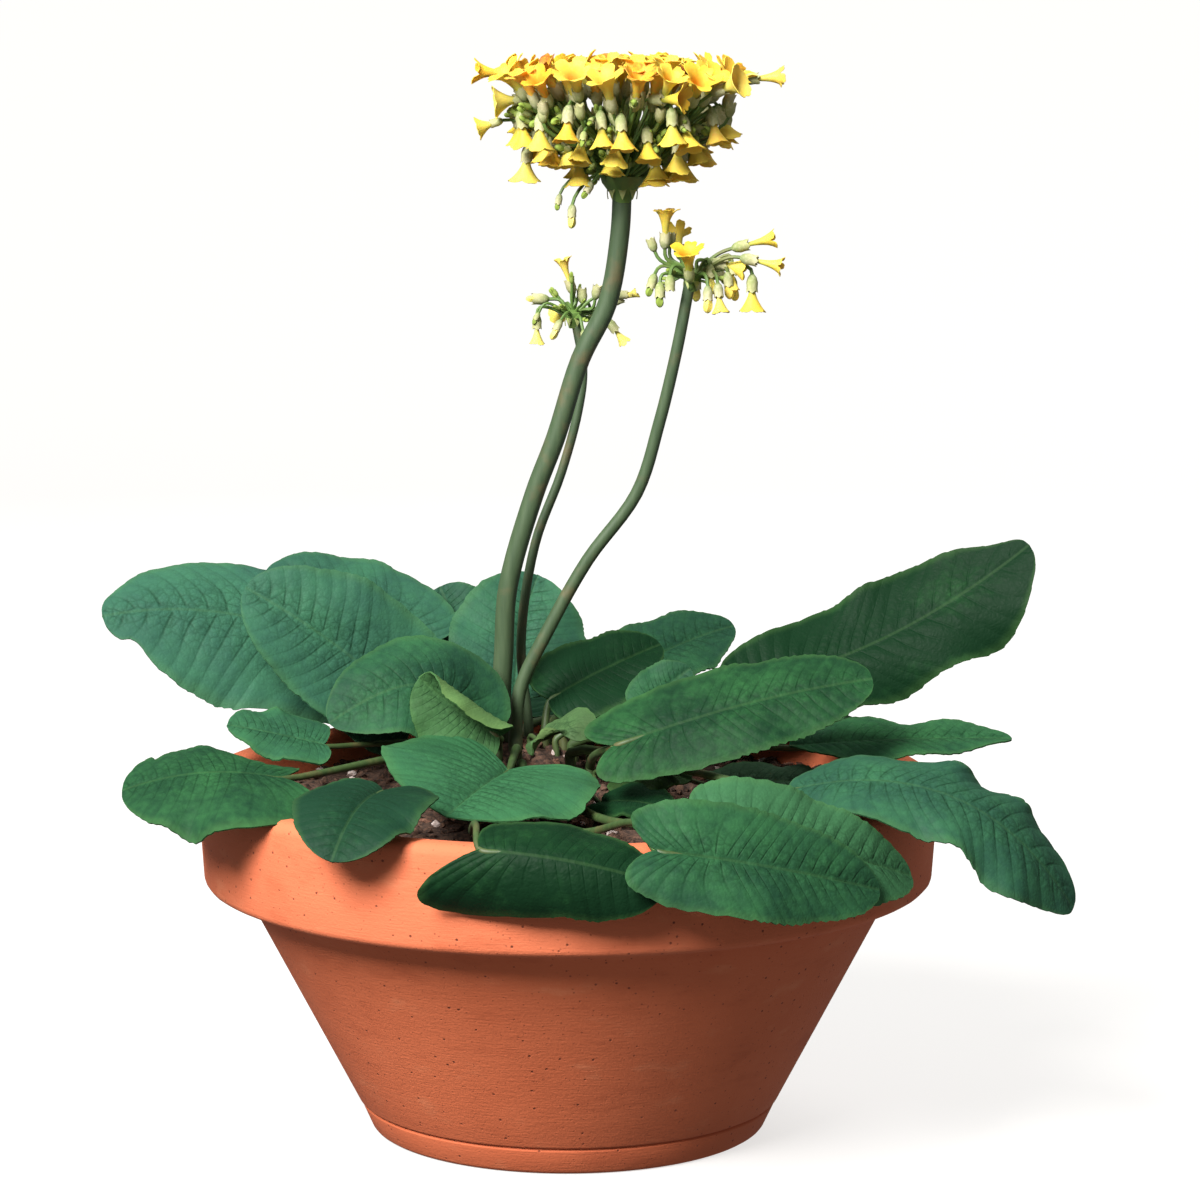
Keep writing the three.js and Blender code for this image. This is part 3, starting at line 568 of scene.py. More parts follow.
def make_pot():
    """A corner of its profile is a radius, a height and a rounding, from the drain hole outwards and up."""
    p = POT
    base, shoulder, groove = p["base_radius"], p["shoulder_radius"], p["groove_height"]
    at_groove = mix(base, shoulder, groove / p["shoulder_height"])
    top = p["height"]
    inner_top = p["rim_top_radius"] - p["wall"]
    corners = [
        (DRAIN_RADIUS, 0, 1),
        (base, 0, 2),
        (at_groove - 0.7, groove - 0.9, 0.4),
        (at_groove - 1.5, groove, 0),
        (at_groove + 0.4, groove + 0.9, 0.4),
        (shoulder - 1, p["shoulder_height"] - 3, 2.2),
        (p["rim_foot_radius"], p["shoulder_height"] + 0.5, 2.6),
        (p["rim_foot_radius"] + 1.4, p["shoulder_height"] + 22, 6),
        (p["rim_top_radius"] - 0.1, top, 4.5),
        (inner_top, top, 3),
        (inner_top - 4, top - 20, 0),
        (shoulder - p["wall"], p["shoulder_height"] - 3, 6),
        (base - p["wall"], p["floor"], 6),
        (DRAIN_RADIUS, p["floor"], 1),
    ]
    shape = Shape("terracotta_pan", TERRACOTTA)
    spin_profile(shape, [corner[:2] for corner in [*corners, corners[0]]], p["steps"])
    for corner in corners:
        if corner[2]:
            round_ring(shape, *corner)
    rng = random.Random("pan")
    slow = Vector((rng.random(), rng.random(), 0))
    for vert in shape.bm.verts:
        out = vert.co.xy.length
        if out > base + 2:
            swell = 0.5 * noise.noise(vert.co / 60 + slow) + 0.18 * noise.noise(vert.co / 14)
            vert.co.xy *= 1 + (swell - p["inset"]) / out
    shape.finish("terracotta", "pot", sharp=40)


# The soil

def soil_level(x, y):
    away = (Vector((x, y)) - CROWN).length
    return SOIL["rim_level"] + SOIL["mound_height"] * math.exp(-((away / SOIL["mound_spread"]) ** 2))


def soil_surface(x, y):
    lumps = 1.5 * noise.noise(Vector((x, y, 3)) / 9) + 0.8 * noise.noise(Vector((x, y, 9)) / 3.4)
    return soil_level(x, y) + lumps


def make_soil():
    shape = Shape("soil_heap", EARTH)
    corners = [(SOIL["radius"], SOIL["rim_level"] - 1), (119.5, POT["shoulder_height"] - 3),
               (67, SOIL["bottom"]), (0, SOIL["bottom"])]

    def place(around, along):
        """The heaped top takes most of the rows, and each of the three faces below it the same few."""
        if along <= SOIL["top_share"]:
            out = along / SOIL["top_share"]
            point = ring_point(SOIL["radius"] * out, around, 0)
            point.z = soil_surface(point.x, point.y) - SOIL["settle"] * out ** 8
            return point, (around, along, 0)
        step = (along - SOIL["top_share"]) / (1 - SOIL["top_share"]) * 3
        k = min(int(step), 2)
        radius, height = (mix(a, b, step - k) for a, b in zip(corners[k], corners[k + 1]))
        return ring_point(radius, around, height), (around, along, 0)

    shape.sheet(150, 100, place)
    bmesh.ops.recalc_face_normals(shape.bm, faces=shape.bm.faces)
    shape.finish("soil", "soil")
    scatter("soil_crumbs", EARTH, CRUMBS, (1.2, 3.6), (1, 0.8, 0.7))
    scatter("perlite_grains", PERLITE_WHITE, PERLITE, (1.1, 2.4), (1, 0.9, 0.8))
    scatter("bark_chips", BARK, BARK_CHIPS, (2.2, 5.0), (1, 0.6, 0.28))


def scatter(name, material, count, sizes, proportions):
    """Angular grains on the soil, each a squashed lump turned at random and half sunk."""
    shape = Shape(name, material)
    rng = random.Random(name)
    for _ in range(count):
        point = ring_point((SOIL["radius"] - 4) * math.sqrt(rng.random()), rng.random(), 0)
        size = rng.uniform(*sizes)
        tilt = Matrix.Rotation(rng.uniform(-0.5, 0.5), 4, "X")
        turn = Matrix.Rotation(rng.uniform(0, 6.3), 4, "Z")
        point.z = soil_surface(point.x, point.y) + 0.25 * size * proportions[2]
        stretch = Matrix.Diagonal((*[size * share for share in proportions], 1))
        spot = Matrix.Translation(point) @ tilt @ turn @ stretch
        grain = bmesh.ops.create_icosphere(shape.bm, subdivisions=1, radius=1, matrix=spot)
        for vert in grain["verts"]:
            vert.co += Vector([rng.uniform(-0.3, 0.3) * size * share for share in proportions])
    shape.finish("soil", sharp=20)


# The leaves. root is the stalk's place from the crown, and via lists points that the stalk passes.
# base, mid and tip are points of the midrib, face is the way the blade looks, width half its width.
# fold and curl are degrees for the halves left and right of the midrib, and twist turns the tip.
# lobe is how far the two lobes reach back, lobe_rise how far they stand up, and widest and blunt shape
# the outline. wave and waves ripple the edge, tooth is the height of its teeth, crinkle the depth of the
# puckers. nicks are gaps in the edge: half, row, depth and width, and a depth below 0 is a bulge.
# veins counts the side veins, stalk is the stalk's share of the usual thickness, and tone is light,
# olive, and a bluish tint that is partly painted sheen.
LEAF_DEFAULTS = dict(
    via=(), fold=(12, 12), curl=(-30, -30), twist=0, lobe=(0.2, 0.2), lobe_rise=2, widest=0.8, blunt=0.5,
    wave=1.5, waves=2.5, tooth=0.7, teeth=22, crinkle=1, veins=15, stalk=1, tone=(0.35, 0, 0.2), nicks=(),
)
LEAVES = {
    "leaf_left_rear": dict(
        root=(-24, -2), base=(-84, 40, 184), mid=(-137, 27, 206), tip=(-192, 15, 207),
        face=(0, -0.78, 0.62), width=37, fold=(-4, 0), curl=(-20, -55), crinkle=1.5, tone=(0.5, 0, 0.55),
        nicks=((0, 0.9, 0.3, 0.05), (0, 0.6, -0.1, 0.2), (1, 0.93, 0.22, 0.08)),
    ),
    "leaf_left_upper": dict(
        root=(-16, -9), base=(-64, 22, 168), mid=(-98, 12, 198), tip=(-133, 14, 220),
        face=(-0.25, -0.8, 0.55), width=30, fold=(4, 10), curl=(25, -20), widest=0.68, crinkle=1.9,
        tone=(0.55, 0, 0.5),
    ),
    "leaf_rear_left": dict(
        root=(-15, 13), base=(-60, 88, 185), mid=(-92, 97, 203), tip=(-133, 103, 212),
        face=(0, -0.6, 0.8), width=24, crinkle=1.5, tone=(0.4, 0, 0.45),
    ),
    "leaf_rear_upright": dict(
        root=(3, 19), base=(-23, 66, 164), mid=(-21, 80, 189), tip=(-13, 95, 214), face=(0, -0.9, 0.4),
        width=30, fold=(18, 18), lobe=(0.12, 0.12), tone=(0.42, 0, 0.42),
    ),
    "leaf_rear_inner": dict(
        root=(-9, 21), base=(-46, 91, 176), mid=(-51, 107, 192), tip=(-57, 117, 206),
        face=(-0.2, -0.8, 0.5), width=19, tone=(0.3, 0, 0.3),
    ),
    "leaf_front_puckered": dict(
        root=(-9, -15), base=(-42, 13, 160), mid=(-60, 2, 181), tip=(-98, -8, 166), face=(0, -0.75, 0.65),
        width=26, fold=(6, 6), crinkle=2.2, tone=(0.4, 0, 0.2),
    ),
    "leaf_small_left": dict(
        root=(-27, -13), base=(-98, -18, 160), mid=(-117, -21, 165), tip=(-138, -23, 169),
        face=(0, -0.3, 0.95), width=21, stalk=0.8, tone=(0.55, 0, 0.3),
    ),
    "leaf_left_front": dict(
        root=(-20, -25), base=(-112, -62, 155), mid=(-143, -68, 158), tip=(-175, -66, 150),
        face=(0, -0.45, 0.89), width=35, fold=(22, -12), curl=(-30, -40), twist=18, lobe=(0.34, 0.34),
        widest=0.75, tooth=1, tone=(0.4, 0, 0.1),
        nicks=((1, 0.8, 0.25, 0.03), (0, 0.35, -0.14, 0.2), (0, 0.7, -0.1, 0.2)),
    ),
    "leaf_over_rim_left": dict(
        root=(-11, -31), via=((-52, -42, 141),), base=(-70, -99, 157), mid=(-79, -128, 154.5),
        tip=(-87, -146, 138), face=(-0.1, -0.6, 0.8), width=25, lobe=(0.3, 0.3), tone=(0.05, 0, 0.1),
    ),
    "leaf_front_heart": dict(
        root=(4, -26), base=(-24, -27, 151), mid=(-34, -58, 150), tip=(-47, -89, 144), face=(0, -0.1, 1),
        width=43, fold=(0, 24), curl=(-20, -25), lobe=(0.34, 0.34), lobe_rise=10, widest=0.75, tooth=0.4,
        crinkle=0.5, tone=(0.8, 0, 0.25),
    ),
    "leaf_rolled_centre": dict(
        root=(-4, -22), base=(-28, -8, 161.5), mid=(-45, -8, 173), tip=(-61, -6, 186.5),
        face=(-0.3, -0.7, 0.6), width=20, fold=(10, 30), curl=(-20, 150), tone=(0.7, 0.15, 0.2),
    ),
    "leaf_right_crinkled": dict(
        root=(15, 2), base=(-8, 48, 167), mid=(14, 57, 178), tip=(40, 71, 187), face=(0, -0.65, 0.75),
        width=21, tooth=1.2, teeth=26, crinkle=2.2, veins=18, tone=(0, 0, 0),
    ),
    "leaf_rear_right_dark": dict(
        root=(16, 13), base=(14, 88, 165), mid=(43, 112, 178), tip=(73, 128, 186), face=(0, -0.6, 0.8),
        width=21,
    ),
    "leaf_right_tall": dict(
        root=(23, 5), via=((20, 34, 153),), base=(64, 24, 177), mid=(126, 34, 193), tip=(192, 40, 234),
        face=(-0.2, -0.75, 0.6), width=25, fold=(8, 4), curl=(-14, -40), lobe=(0.12, 0.12), widest=1.05,
        blunt=0.42, wave=2.2, waves=3.5, veins=22, tone=(0, 0, 0),
        nicks=((1, 0.84, -0.42, 0.14), (0, 0.96, 0.3, 0.08)),
    ),
    "leaf_right_mid": dict(
        root=(34, -28), base=(19, -38, 163.5), mid=(72, -36, 180), tip=(123, -30, 189),
        face=(-0.1, -0.7, 0.7), width=22, fold=(6, 4), lobe=(0.24, 0.24), widest=0.9, blunt=0.42,
        tooth=1.2, teeth=26, crinkle=1.4, veins=21, tone=(0.3, 0, 0.05),
    ),
    "leaf_right_narrow": dict(
        root=(27, -7), base=(90, 0, 156), mid=(135, 5, 158), tip=(183, 10, 157), face=(0, -0.2, 0.98),
        width=20, lobe=(0.05, 0.05), veins=18, tone=(0.6, 0, 0.15),
    ),
    "leaf_right_drooping": dict(
        root=(26, -20), base=(88, -70, 152), mid=(149, -92, 153), tip=(197, -86, 107),
        face=(0.1, -0.6, 0.8), width=25, fold=(-8, 14), lobe=(0.12, 0.12), widest=1, blunt=0.42, wave=2.5,
        waves=4, veins=20, tone=(0.35, 0, 0.32), nicks=((0, 0.78, -0.3, 0.15), (1, 0.8, -0.35, 0.13)),
    ),
    "leaf_front_centre": dict(
        root=(-4, -37), via=((-36, -80, 138), (-33, -141, 152)), base=(-31, -157, 146.5),
        mid=(4, -162.4, 143), tip=(39, -159, 133), face=(0, -0.85, 0.5), width=24, fold=(-25, -10),
        curl=(-30, -60), lobe=(0.16, 0.5), blunt=0.42, tone=(0, 0, 0), nicks=((1, 0.2, -0.3, 0.15),),
    ),
    "leaf_front_right": dict(
        root=(6, -37), via=((-14, -38, 139), (4, -80, 137), (28, -143, 153)), base=(34, -160.7, 147),
        mid=(77, -153.4, 139), tip=(119, -130, 125), face=(0.2, -0.8, 0.5), width=22, lobe=(0.28, 0.28),
        tooth=1.2, teeth=26, crinkle=1.4, veins=20, tone=(0.45, 0, 0.15),
    ),
    "leaf_front_right_under": dict(
        root=(12, -45), via=((11, -60, 139),), base=(50, -142, 152), mid=(92, -132, 142),
        tip=(133, -102, 124), face=(0.25, -0.7, 0.65), width=25, tooth=1.2, teeth=26, veins=19,
        tone=(0.95, 0.05, 0.3),
    ),
    "leaf_olive": dict(
        root=(9, -14), base=(-12, 12, 157), mid=(-2, 0, 163), tip=(0, -4, 159.5), face=(0.2, -0.6, 0.75),
        width=17, lobe=(0.08, 0.08), crinkle=0.4, stalk=0.6, tone=(0.6, 0.3, 0.35),
    ),
    "leaf_low_dark": dict(
        root=(24, -38), base=(14, -32, 139), mid=(28, -40, 141), tip=(44, -46, 138), face=(0, -0.3, 0.95),
        width=15, stalk=0.7, tone=(0.1, 0, 0),
    ),
    "leaf_low_grey": dict(
        root=(34, -14), base=(58, -14, 143), mid=(82, -18, 145), tip=(107, -20, 145),
        face=(0, -0.35, 0.93), width=14, stalk=0.7, tone=(0.2, 0.15, 0.4),
    ),
    "leaf_behind_mid": dict(
        root=(20, -8), base=(30, 38, 164), mid=(40, 40, 173), tip=(52, 43, 182), face=(0, -0.9, 0.35),
        width=12, stalk=0.7, tone=(0.4, 0, 0.2),
    ),
    "leaf_back_centre": dict(
        root=(6, 29), base=(0, 102, 152), mid=(10, 134, 155), tip=(18, 168, 137), face=(0, 0.2, 0.97),
        width=28, lobe=(0.25, 0.25), tone=(0.45, 0, 0.25),
    ),
    "leaf_back_right": dict(
        root=(26, 13), base=(62, 80, 150), mid=(90, 100, 154), tip=(122, 122, 141), face=(0, 0.1, 0.98),
        width=27, tone=(0.35, 0, 0.3),
    ),
    "leaf_back_left": dict(
        root=(-21, 27), base=(-66, 94, 150), mid=(-84, 110, 152), tip=(-101, 130, 143),
        face=(0, 0.1, 0.98), width=22, lobe=(0.25, 0.25), tone=(0.5, 0, 0.15),
    ),
}

# Small young leaves in the gaps of the rosette
YOUNG_LEAVES = {
    "young_leaf_gap": dict(
        root=(36, -34), base=(20, -14, 145), mid=(35, -20, 149), tip=(51, -25, 146), face=(0, -0.4, 0.9),
        width=13, stalk=0.5, tone=(0.1, 0.1, 0),
    ),
    "young_leaf_right": dict(
        root=(40, 2), base=(44, 34, 146), mid=(62, 46, 153), tip=(82, 56, 148), face=(0.1, 0, 1),
        width=15, stalk=0.6, tone=(0.4, 0, 0.1),
    ),
    "young_leaf_back": dict(
        root=(20, 32), base=(22, 78, 148), mid=(32, 94, 154), tip=(40, 112, 148), face=(0, 0.1, 1),
        width=14, stalk=0.6, tone=(0.5, 0.1, 0),
    ),
    "young_leaf_back_left": dict(
        root=(-14, 30), base=(-34, 86, 147), mid=(-38, 102, 153), tip=(-42, 120, 147), face=(0, 0.1, 1),
        width=15, stalk=0.6, tone=(0.3, 0, 0.2),
    ),
}


class Midrib:
    """One quadratic arc through a leaf's three points. Past its base it goes on straight."""

    def __init__(self, leaf):
        self.base = Vector(leaf["base"])
        self.tip = Vector(leaf["tip"])
        self.tip -= (self.tip - Vector(leaf["mid"])).normalized() * BLADE["tip_room"]
        self.pull = 2 * Vector(leaf["mid"]) - 0.5 * self.base - 0.5 * self.tip
        self.face = Vector(leaf["face"]).normalized()
        self.twist = math.radians(leaf["twist"])
        self.pace = 2 * (self.pull - self.base).length

    def heading(self, along):
        held = min(max(along, 0), 1)
        return (self.pull - self.base).lerp(self.tip - self.pull, held).normalized()

    def point(self, along):
        if along < 0:
            return self.base + self.heading(0) * along * self.pace
        held = min(along, 1)
        return self.base.lerp(self.pull, held).lerp(self.pull.lerp(self.tip, held), held)

    def frame(self, along):
        ahead = self.heading(along)
        right = ahead.cross(self.face).normalized()
        up = right.cross(ahead)
        turn = self.twist * max(along, 0)
        return right * math.cos(turn) + up * math.sin(turn), up * math.cos(turn) - right * math.sin(turn)


def leaf_edge(leaf, row, half, seed):
    """The smooth outline at a row, as a share of the leaf's half width, and the outline with its teeth."""
    swell = max(0.0, math.sin(math.pi * row ** leaf["widest"])) ** leaf["blunt"]
    tooth = leaf["tooth"] / leaf["width"] * ((row * leaf["teeth"] + 0.37 * half) % 1 - 0.5)
    uneven = 1 + 0.07 * noise.noise(Vector((row * 5, half * 7, seed)))
    uneven += 0.03 * noise.noise(Vector((row * 15, half * 7, seed)))
    base_share = min(1, row / BLADE["base_round"])
    uneven *= math.sqrt(1 - (1 - base_share) ** 2)
    for nick_half, nick_row, depth, span in leaf["nicks"]:
        if nick_half == half:
            uneven -= depth * math.exp(-(((row - nick_row) / span) ** 2))
    return swell, max(0.0, swell * (uneven + tooth * base_share))


def make_leaf(name, given, *nodes):
    leaf = {**LEAF_DEFAULTS, **given}
    rib = Midrib(leaf)
    length = (rib.tip - rib.base).length
    width = leaf["width"]
    seed = random.Random(name).uniform(0, 100)

    def place(u, v):
        half = 0 if u < 0.5 else 1
        side = 1 if half else -1
        across = abs(2 * u - 1)
        row = mix(v, 0.5 - 0.5 * math.cos(math.pi * v), BLADE["end_ease"])
        swell, edge = leaf_edge(leaf, row, half, seed)
        lobe = max(0.0, math.sin(math.pi * min(1, row / BLADE["lobe_span"]))) ** BLADE["lobe_round"]
        edge_along = row - leaf["lobe"][half] * lobe
        rib_along = row - BLADE["vein_sweep"] * math.sin(math.pi * row)
        along = mix(rib_along, edge_along, across)
        reach = edge * across
        fold = math.radians(leaf["fold"][half])
        curl = math.radians(leaf["curl"][half])
        slope = fold + curl * reach
        outward = width * (math.sin(slope) - math.sin(fold)) / curl
        rise = width * (math.cos(fold) - math.cos(slope)) / curl
        phase = 0 if half else BLADE["left_phase"]
        flutter = BLADE["flutter"] * noise.noise(Vector((row * 6, half * 9, seed)))
        rise += reach ** 2 * (leaf["wave"] * math.sin(FULL_TURN * leaf["waves"] * row + phase) + flutter)
        rise += leaf["lobe_rise"] * reach * (1 - row) ** 3
        right, up = rib.frame(along)
        point = rib.point(along) + right * (side * outward) + up * rise
        normal = up * math.cos(slope) - right * (side * math.sin(slope))
        away = side * reach * width
        wander = noise.noise(Vector((along * length / 20, away / 20, seed)))
        count = row * leaf["veins"] - BLADE["vein_bow"] * across ** 2 + BLADE["vein_wander"] * wander
        relief = blade_relief(leaf, away, across, count, along * length, seed) * min(1, swell * 1.5)
        return point + normal * (BLADE["upper"] + relief), (side * across if swell else 1, count, away)

    shape = Shape(name, LEAF_UPPER, LEAF_UNDER, LEAF_STALK)
    columns = 2 * max(8, round(width * BLADE["columns_per_width"]))
    rows = max(40, round(length * BLADE["rows_per_length"]))
    shape.sheet(columns, rows, place, UPPER_FACE, leaf["tone"], BLADE["thickness"], UNDER_FACE)
    stalk, widths = stalk_path(leaf, rib)
    shape.tube(stalk, widths, STALK["sides"], STALK_FACE, leaf["tone"], seed)
    shape.finish("leaf", *nodes)


def blade_relief(leaf, away, across, count, along, seed):
    """How far the upper face stands above the plain blade, in millimetres. Its margin is smoother."""
    reach = abs(away)
    phase = count + (0.5 if away > 0 else 0)
    spread = min(1, reach / 7) * (1 - 0.45 * across)
    pillow = BLADE["pillow"] * spread * (math.sqrt(abs(math.sin(math.pi * phase))) - 0.6)
    flat = Vector((along, away, seed))
    near, next_near = noise.voronoi(flat / BLADE["pucker_size"])[0][:2]
    pucker = BLADE["pucker"] * leaf["crinkle"] * min(0.6, next_near - near) * (1 - 0.5 * across)
    crinkle = leaf["crinkle"] * min(1, reach / 8) * (noise.noise(flat / 22) + 0.2 * noise.noise(flat / 8))
    groove = -BLADE["groove"] * math.exp(-((reach / BLADE["groove_width"]) ** 2))
    return pillow + pucker + crinkle + groove


def stalk_path(leaf, rib):
    """The points and radii of a stalk from the soil to the blade, and on under it as a raised midrib."""
    foot = CROWN + Vector(leaf["root"])
    level = soil_level(*foot) + 1
    points = [Vector((*foot, level)), Vector((*foot, level + STALK["rise"])), *map(Vector, leaf["via"])]
    under = (0, 0.9), (KEEL["start"], 1.4)
    points += [rib.point(along) - rib.frame(along)[1] * below for along, below in under]
    stalk = [Vector((*foot, level - STALK["stub"])), *smooth_path(points, 7)]
    reached = [sum((b - a).length for a, b in zip(stalk, stalk[1:k + 1])) for k in range(len(stalk))]
    first, last = STALK["radius"] * leaf["stalk"], STALK["tip_radius"] * leaf["stalk"]
    widths = [mix(first, last, far / reached[-1]) for far in reached]
    for k in range(1, KEEL["steps"] + 1):
        along = KEEL["start"] + KEEL["step"] * k
        widths.append(mix(last, KEEL["radius"], k / KEEL["steps"]))
        below = KEEL["depth"] + KEEL["sunk"] * widths[-1]
        stalk.append(rib.point(along) - rib.frame(along)[1] * below)
    return stalk, widths


# The flowers

def outline_at(outline, share):
    """The height and radius at a share of an outline."""
    step = min(max(share, 0), 1) * (len(outline) - 1)
    k = min(int(step), len(outline) - 2)
    return [mix(a, b, step - k) for a, b in zip(outline[k], outline[k + 1])]


def aimed(foot, aim, turn, size):
    """The placing that stands a flower's own axis on its foot, along its aim."""
    aiming = aim.to_track_quat("Z", "Y").to_matrix().to_4x4()
    return Matrix.Translation(foot) @ aiming @ Matrix.Rotation(turn, 4, "Z") @ Matrix.Scale(size, 4)


def bloom(kind, foot, aim, **rest):
    """One flower: where its foot is, which way it looks, and what else is known of it."""
    return dict(kind=kind, foot=foot, aim=aim, **rest)


def corolla(petals, at, outline, sinus, scale, tone, rng):
    """A trumpet of five notched lobes, each a little different."""
    ragged = sinus / PETAL["funnel_sinus"]
    bends, longer, twists, notches = [
        [rng.uniform(*PETAL[limits]) for _ in range(LOBES)]
        for limits in ("bends", "lengths", "twists", "notches")
    ]

    def place(around, along):
        lobe = min(int(around * LOBES + 1e-6), LOBES - 1)
        across = around * LOBES - lobe
        full = max(0.0, math.sin(math.pi * across)) ** PETAL["lobe_round"]
        notch = notches[lobe] * math.exp(-(((across - 0.5) / PETAL["notch_width"]) ** 2))
        share = along * (1 - sinus * (1 - full) - notch * ragged) * mix(1, longer[lobe], full)
        height, radius = outline_at(outline, share)
        late = along ** 4 * full * ragged
        height += bends[lobe] * late
        radius = radius * scale + (twists[lobe] * (across - 0.5) - 0.5 * abs(bends[lobe])) * late
        return at @ ring_point(radius, around, height), (around, share, lobe)

    petals.sheet(6 * LOBES, 7, place, 0, tone, PETAL["thickness"], 1)


def calyx(green, at, tone):
    """A ribbed cup. Its rim has a tooth at each rib."""
    rows = len(CALYX_OUTLINE) - 1

    def place(around, along):
        k = round(along * rows)
        height, radius = CALYX_OUTLINE[k]
        column = round(around * 2 * LOBES)
        if k == CALYX_RIM:
            height += -0.5 if column % 2 else 0.6
        ribbed = 1 if column % 2 else 1.06
        return at @ ring_point(radius * ribbed, around, height), (around, along, 0)

    green.sheet(2 * LOBES, rows, place, CALYX_FACE, tone)


def closed_bud(green, at, scale, tone, look):
    """A furrowed bud whose furrows wind round it."""
    bottom = BUD_OUTLINE[0][0]

    def place(around, along):
        height, radius = outline_at(BUD_OUTLINE, along)
        furrow = 1 + 0.1 * math.cos(LOBES * around * FULL_TURN)
        turned = around + along / FULL_TURN
        point = ring_point(radius * furrow * scale, turned, mix(bottom, height, scale))
        return at @ point, (around, 0.3 + 0.4 * along, 0)

    green.sheet(2 * LOBES, 7, place, look, tone)


def pedicel(green, boss, lift, foot, aim, rng, thick=1.0):
    """A thin curved stalk from the boss to the foot of a flower."""
    away = foot - boss["centre"]
    leaving = (away.normalized() + UP * lift).normalized()
    start = boss["centre"] + leaving * boss["radius"] * PEDICEL["boss_share"]
    sway = Vector([rng.uniform(-PEDICEL["sway"], PEDICEL["sway"]) for _ in range(3)])
    leave = start + leaving * PEDICEL["leave"] * away.length + sway
    arrive = foot - aim * PEDICEL["rise"] + sway * 0.5
    count = PEDICEL["points"]
    path = interpolate_bezier(start, leave, arrive, foot, count)
    radius = PEDICEL["radius"] * thick
    widths = [mix(PEDICEL["foot_share"], 1, k / (count - 1)) * radius for k in range(count)]
    green.tube(path, widths, PEDICEL["sides"], PEDICEL_FACE, seed=rng.random())


def flower(green, petals, boss, spec, rng):
    """One flower on its pedicel. Beside kind, foot and aim, spec may hold how its pedicel lifts off the
    boss, its size, the scale of its mouth, its tone, and how green its calyx is."""
    foot = Vector(spec["foot"])
    aim = Vector(spec["aim"]).normalized()
    size = spec.get("size", 1)
    at = aimed(foot, aim, rng.uniform(0, FULL_TURN), size)
    kind = spec["kind"]
    tone = spec.get("tone", (rng.uniform(0, 0.5), 0, rng.uniform(0, 0.35)))
    pedicel(green, boss, spec.get("lift", boss["lift"]), foot, aim, rng, mix(0.6, 1, size))
    calyx(green, at, (spec.get("green", rng.uniform(0, 0.35)), tone[1], rng.random()))
    if kind == "bud":
        closed_bud(green, at, spec.get("scale", 1), spec.get("tone", (0, 0, 0.7)), BUD_FACE)
    elif kind == "green bud":
        closed_bud(green, at, spec.get("scale", 0.8), (1, 0, 0), CALYX_FACE)
    elif kind != "calyx":
        outline = BELL_OUTLINE if kind == "bell" else FUNNEL_OUTLINE
        corolla(petals, at, outline, PETAL[kind + "_sinus"], spec.get("scale", 1), tone, rng)


def boss_lump(green, boss):
    """The swollen top of a stem, with a whorl of small bracts that lie back along it."""
    centre, radius, height = boss["centre"], boss["radius"], boss["height"]
    outline = [(-height, 0), (-height, 0.45), (-0.5 * height, 0.64), (0, 0.92), (0.35 * radius, 0.95),
               (0.65 * radius, 0.6), (0.7 * radius, 0)]
    rows = len(outline) - 1

    def place(around, along):
        level, wide = outline[round(along * rows)]
        wide *= radius * mix(1, boss["spread"], max(0, 1 + level / height))
        return centre + ring_point(wide, around, level), (around, along, 0)

    green.sheet(16, rows, place, PEDICEL_FACE)
    for k in range(boss["bracts"]):
        bract(green, boss, k / boss["bracts"], height)


def bract(green, boss, around, length):
    """A narrow leaflet that leaves the boss outwards and turns down."""
    out = ring_point(1, around, 0)
    side = ring_point(1, around + 0.25, 0)

    def place(u, v):
        across = 2 * u - 1
        wide = BRACT["width"] * length * math.sin(math.pi * (0.12 + 0.88 * v) ** 0.6) * across
        far = 0.64 * boss["radius"] + BRACT["reach"] * length * math.sin(2.4 * v)
        level = BRACT["hollow"] * abs(across) - 0.1 * boss["height"] - BRACT["drop"] * length * v ** 1.4
        return boss["centre"] + out * far + side * wide + UP * level, (u, v, 0)

    green.sheet(4, 6, place, CALYX_FACE, (0.6, 0, 0), BRACT["thickness"])


# The flowering stems, each a list of points from the soil to its head
SCAPES = {
    "scape_main": {
        "foot": (-27, 44), "radius": 4.1, "head_radius": 3.9,
        "points": [(-28, 43, 169), (-27, 41, 188), (-25, 38, 216), (-14, 34, 255), (-5, 31, 279),
                   (5, 28, 311), (16, 25, 334), (21, 22, 362), (22, 20, 381)],
    },
    "scape_right": {
        "foot": (-22, 32), "radius": 3, "head_radius": 2.3,
        "points": [(-20, 32, 174), (-8, 29, 200), (8, 25, 229), (28, 21, 257), (37, 17, 286),
                   (44, 13, 316), (49, 10, 343)],
    },
    "scape_back": {
        "foot": (-17, 51), "radius": 2.1, "head_radius": 1.8,
        "points": [(-20, 52, 190), (-14, 51, 232), (-3, 51, 262), (4, 50, 288), (6, 50, 305), (3, 50, 324)],
    },
}


def scape(green, given):
    """A flowering stem from its foot in the soil to its head."""
    foot = Vector(given["foot"])
    level = soil_level(*foot) + 1
    points = [Vector((*foot, level)), Vector((*foot, level + STALK["rise"])), *map(Vector, given["points"])]
    path = [Vector((*foot, level - STALK["stub"])), *smooth_path(points, 6)]
    last = len(path) - 1
    widths = [mix(given["radius"], given["head_radius"], k / last) for k in range(last + 1)]
    green.tube(path, widths, 20, STEM_FACE, seed=0.5)


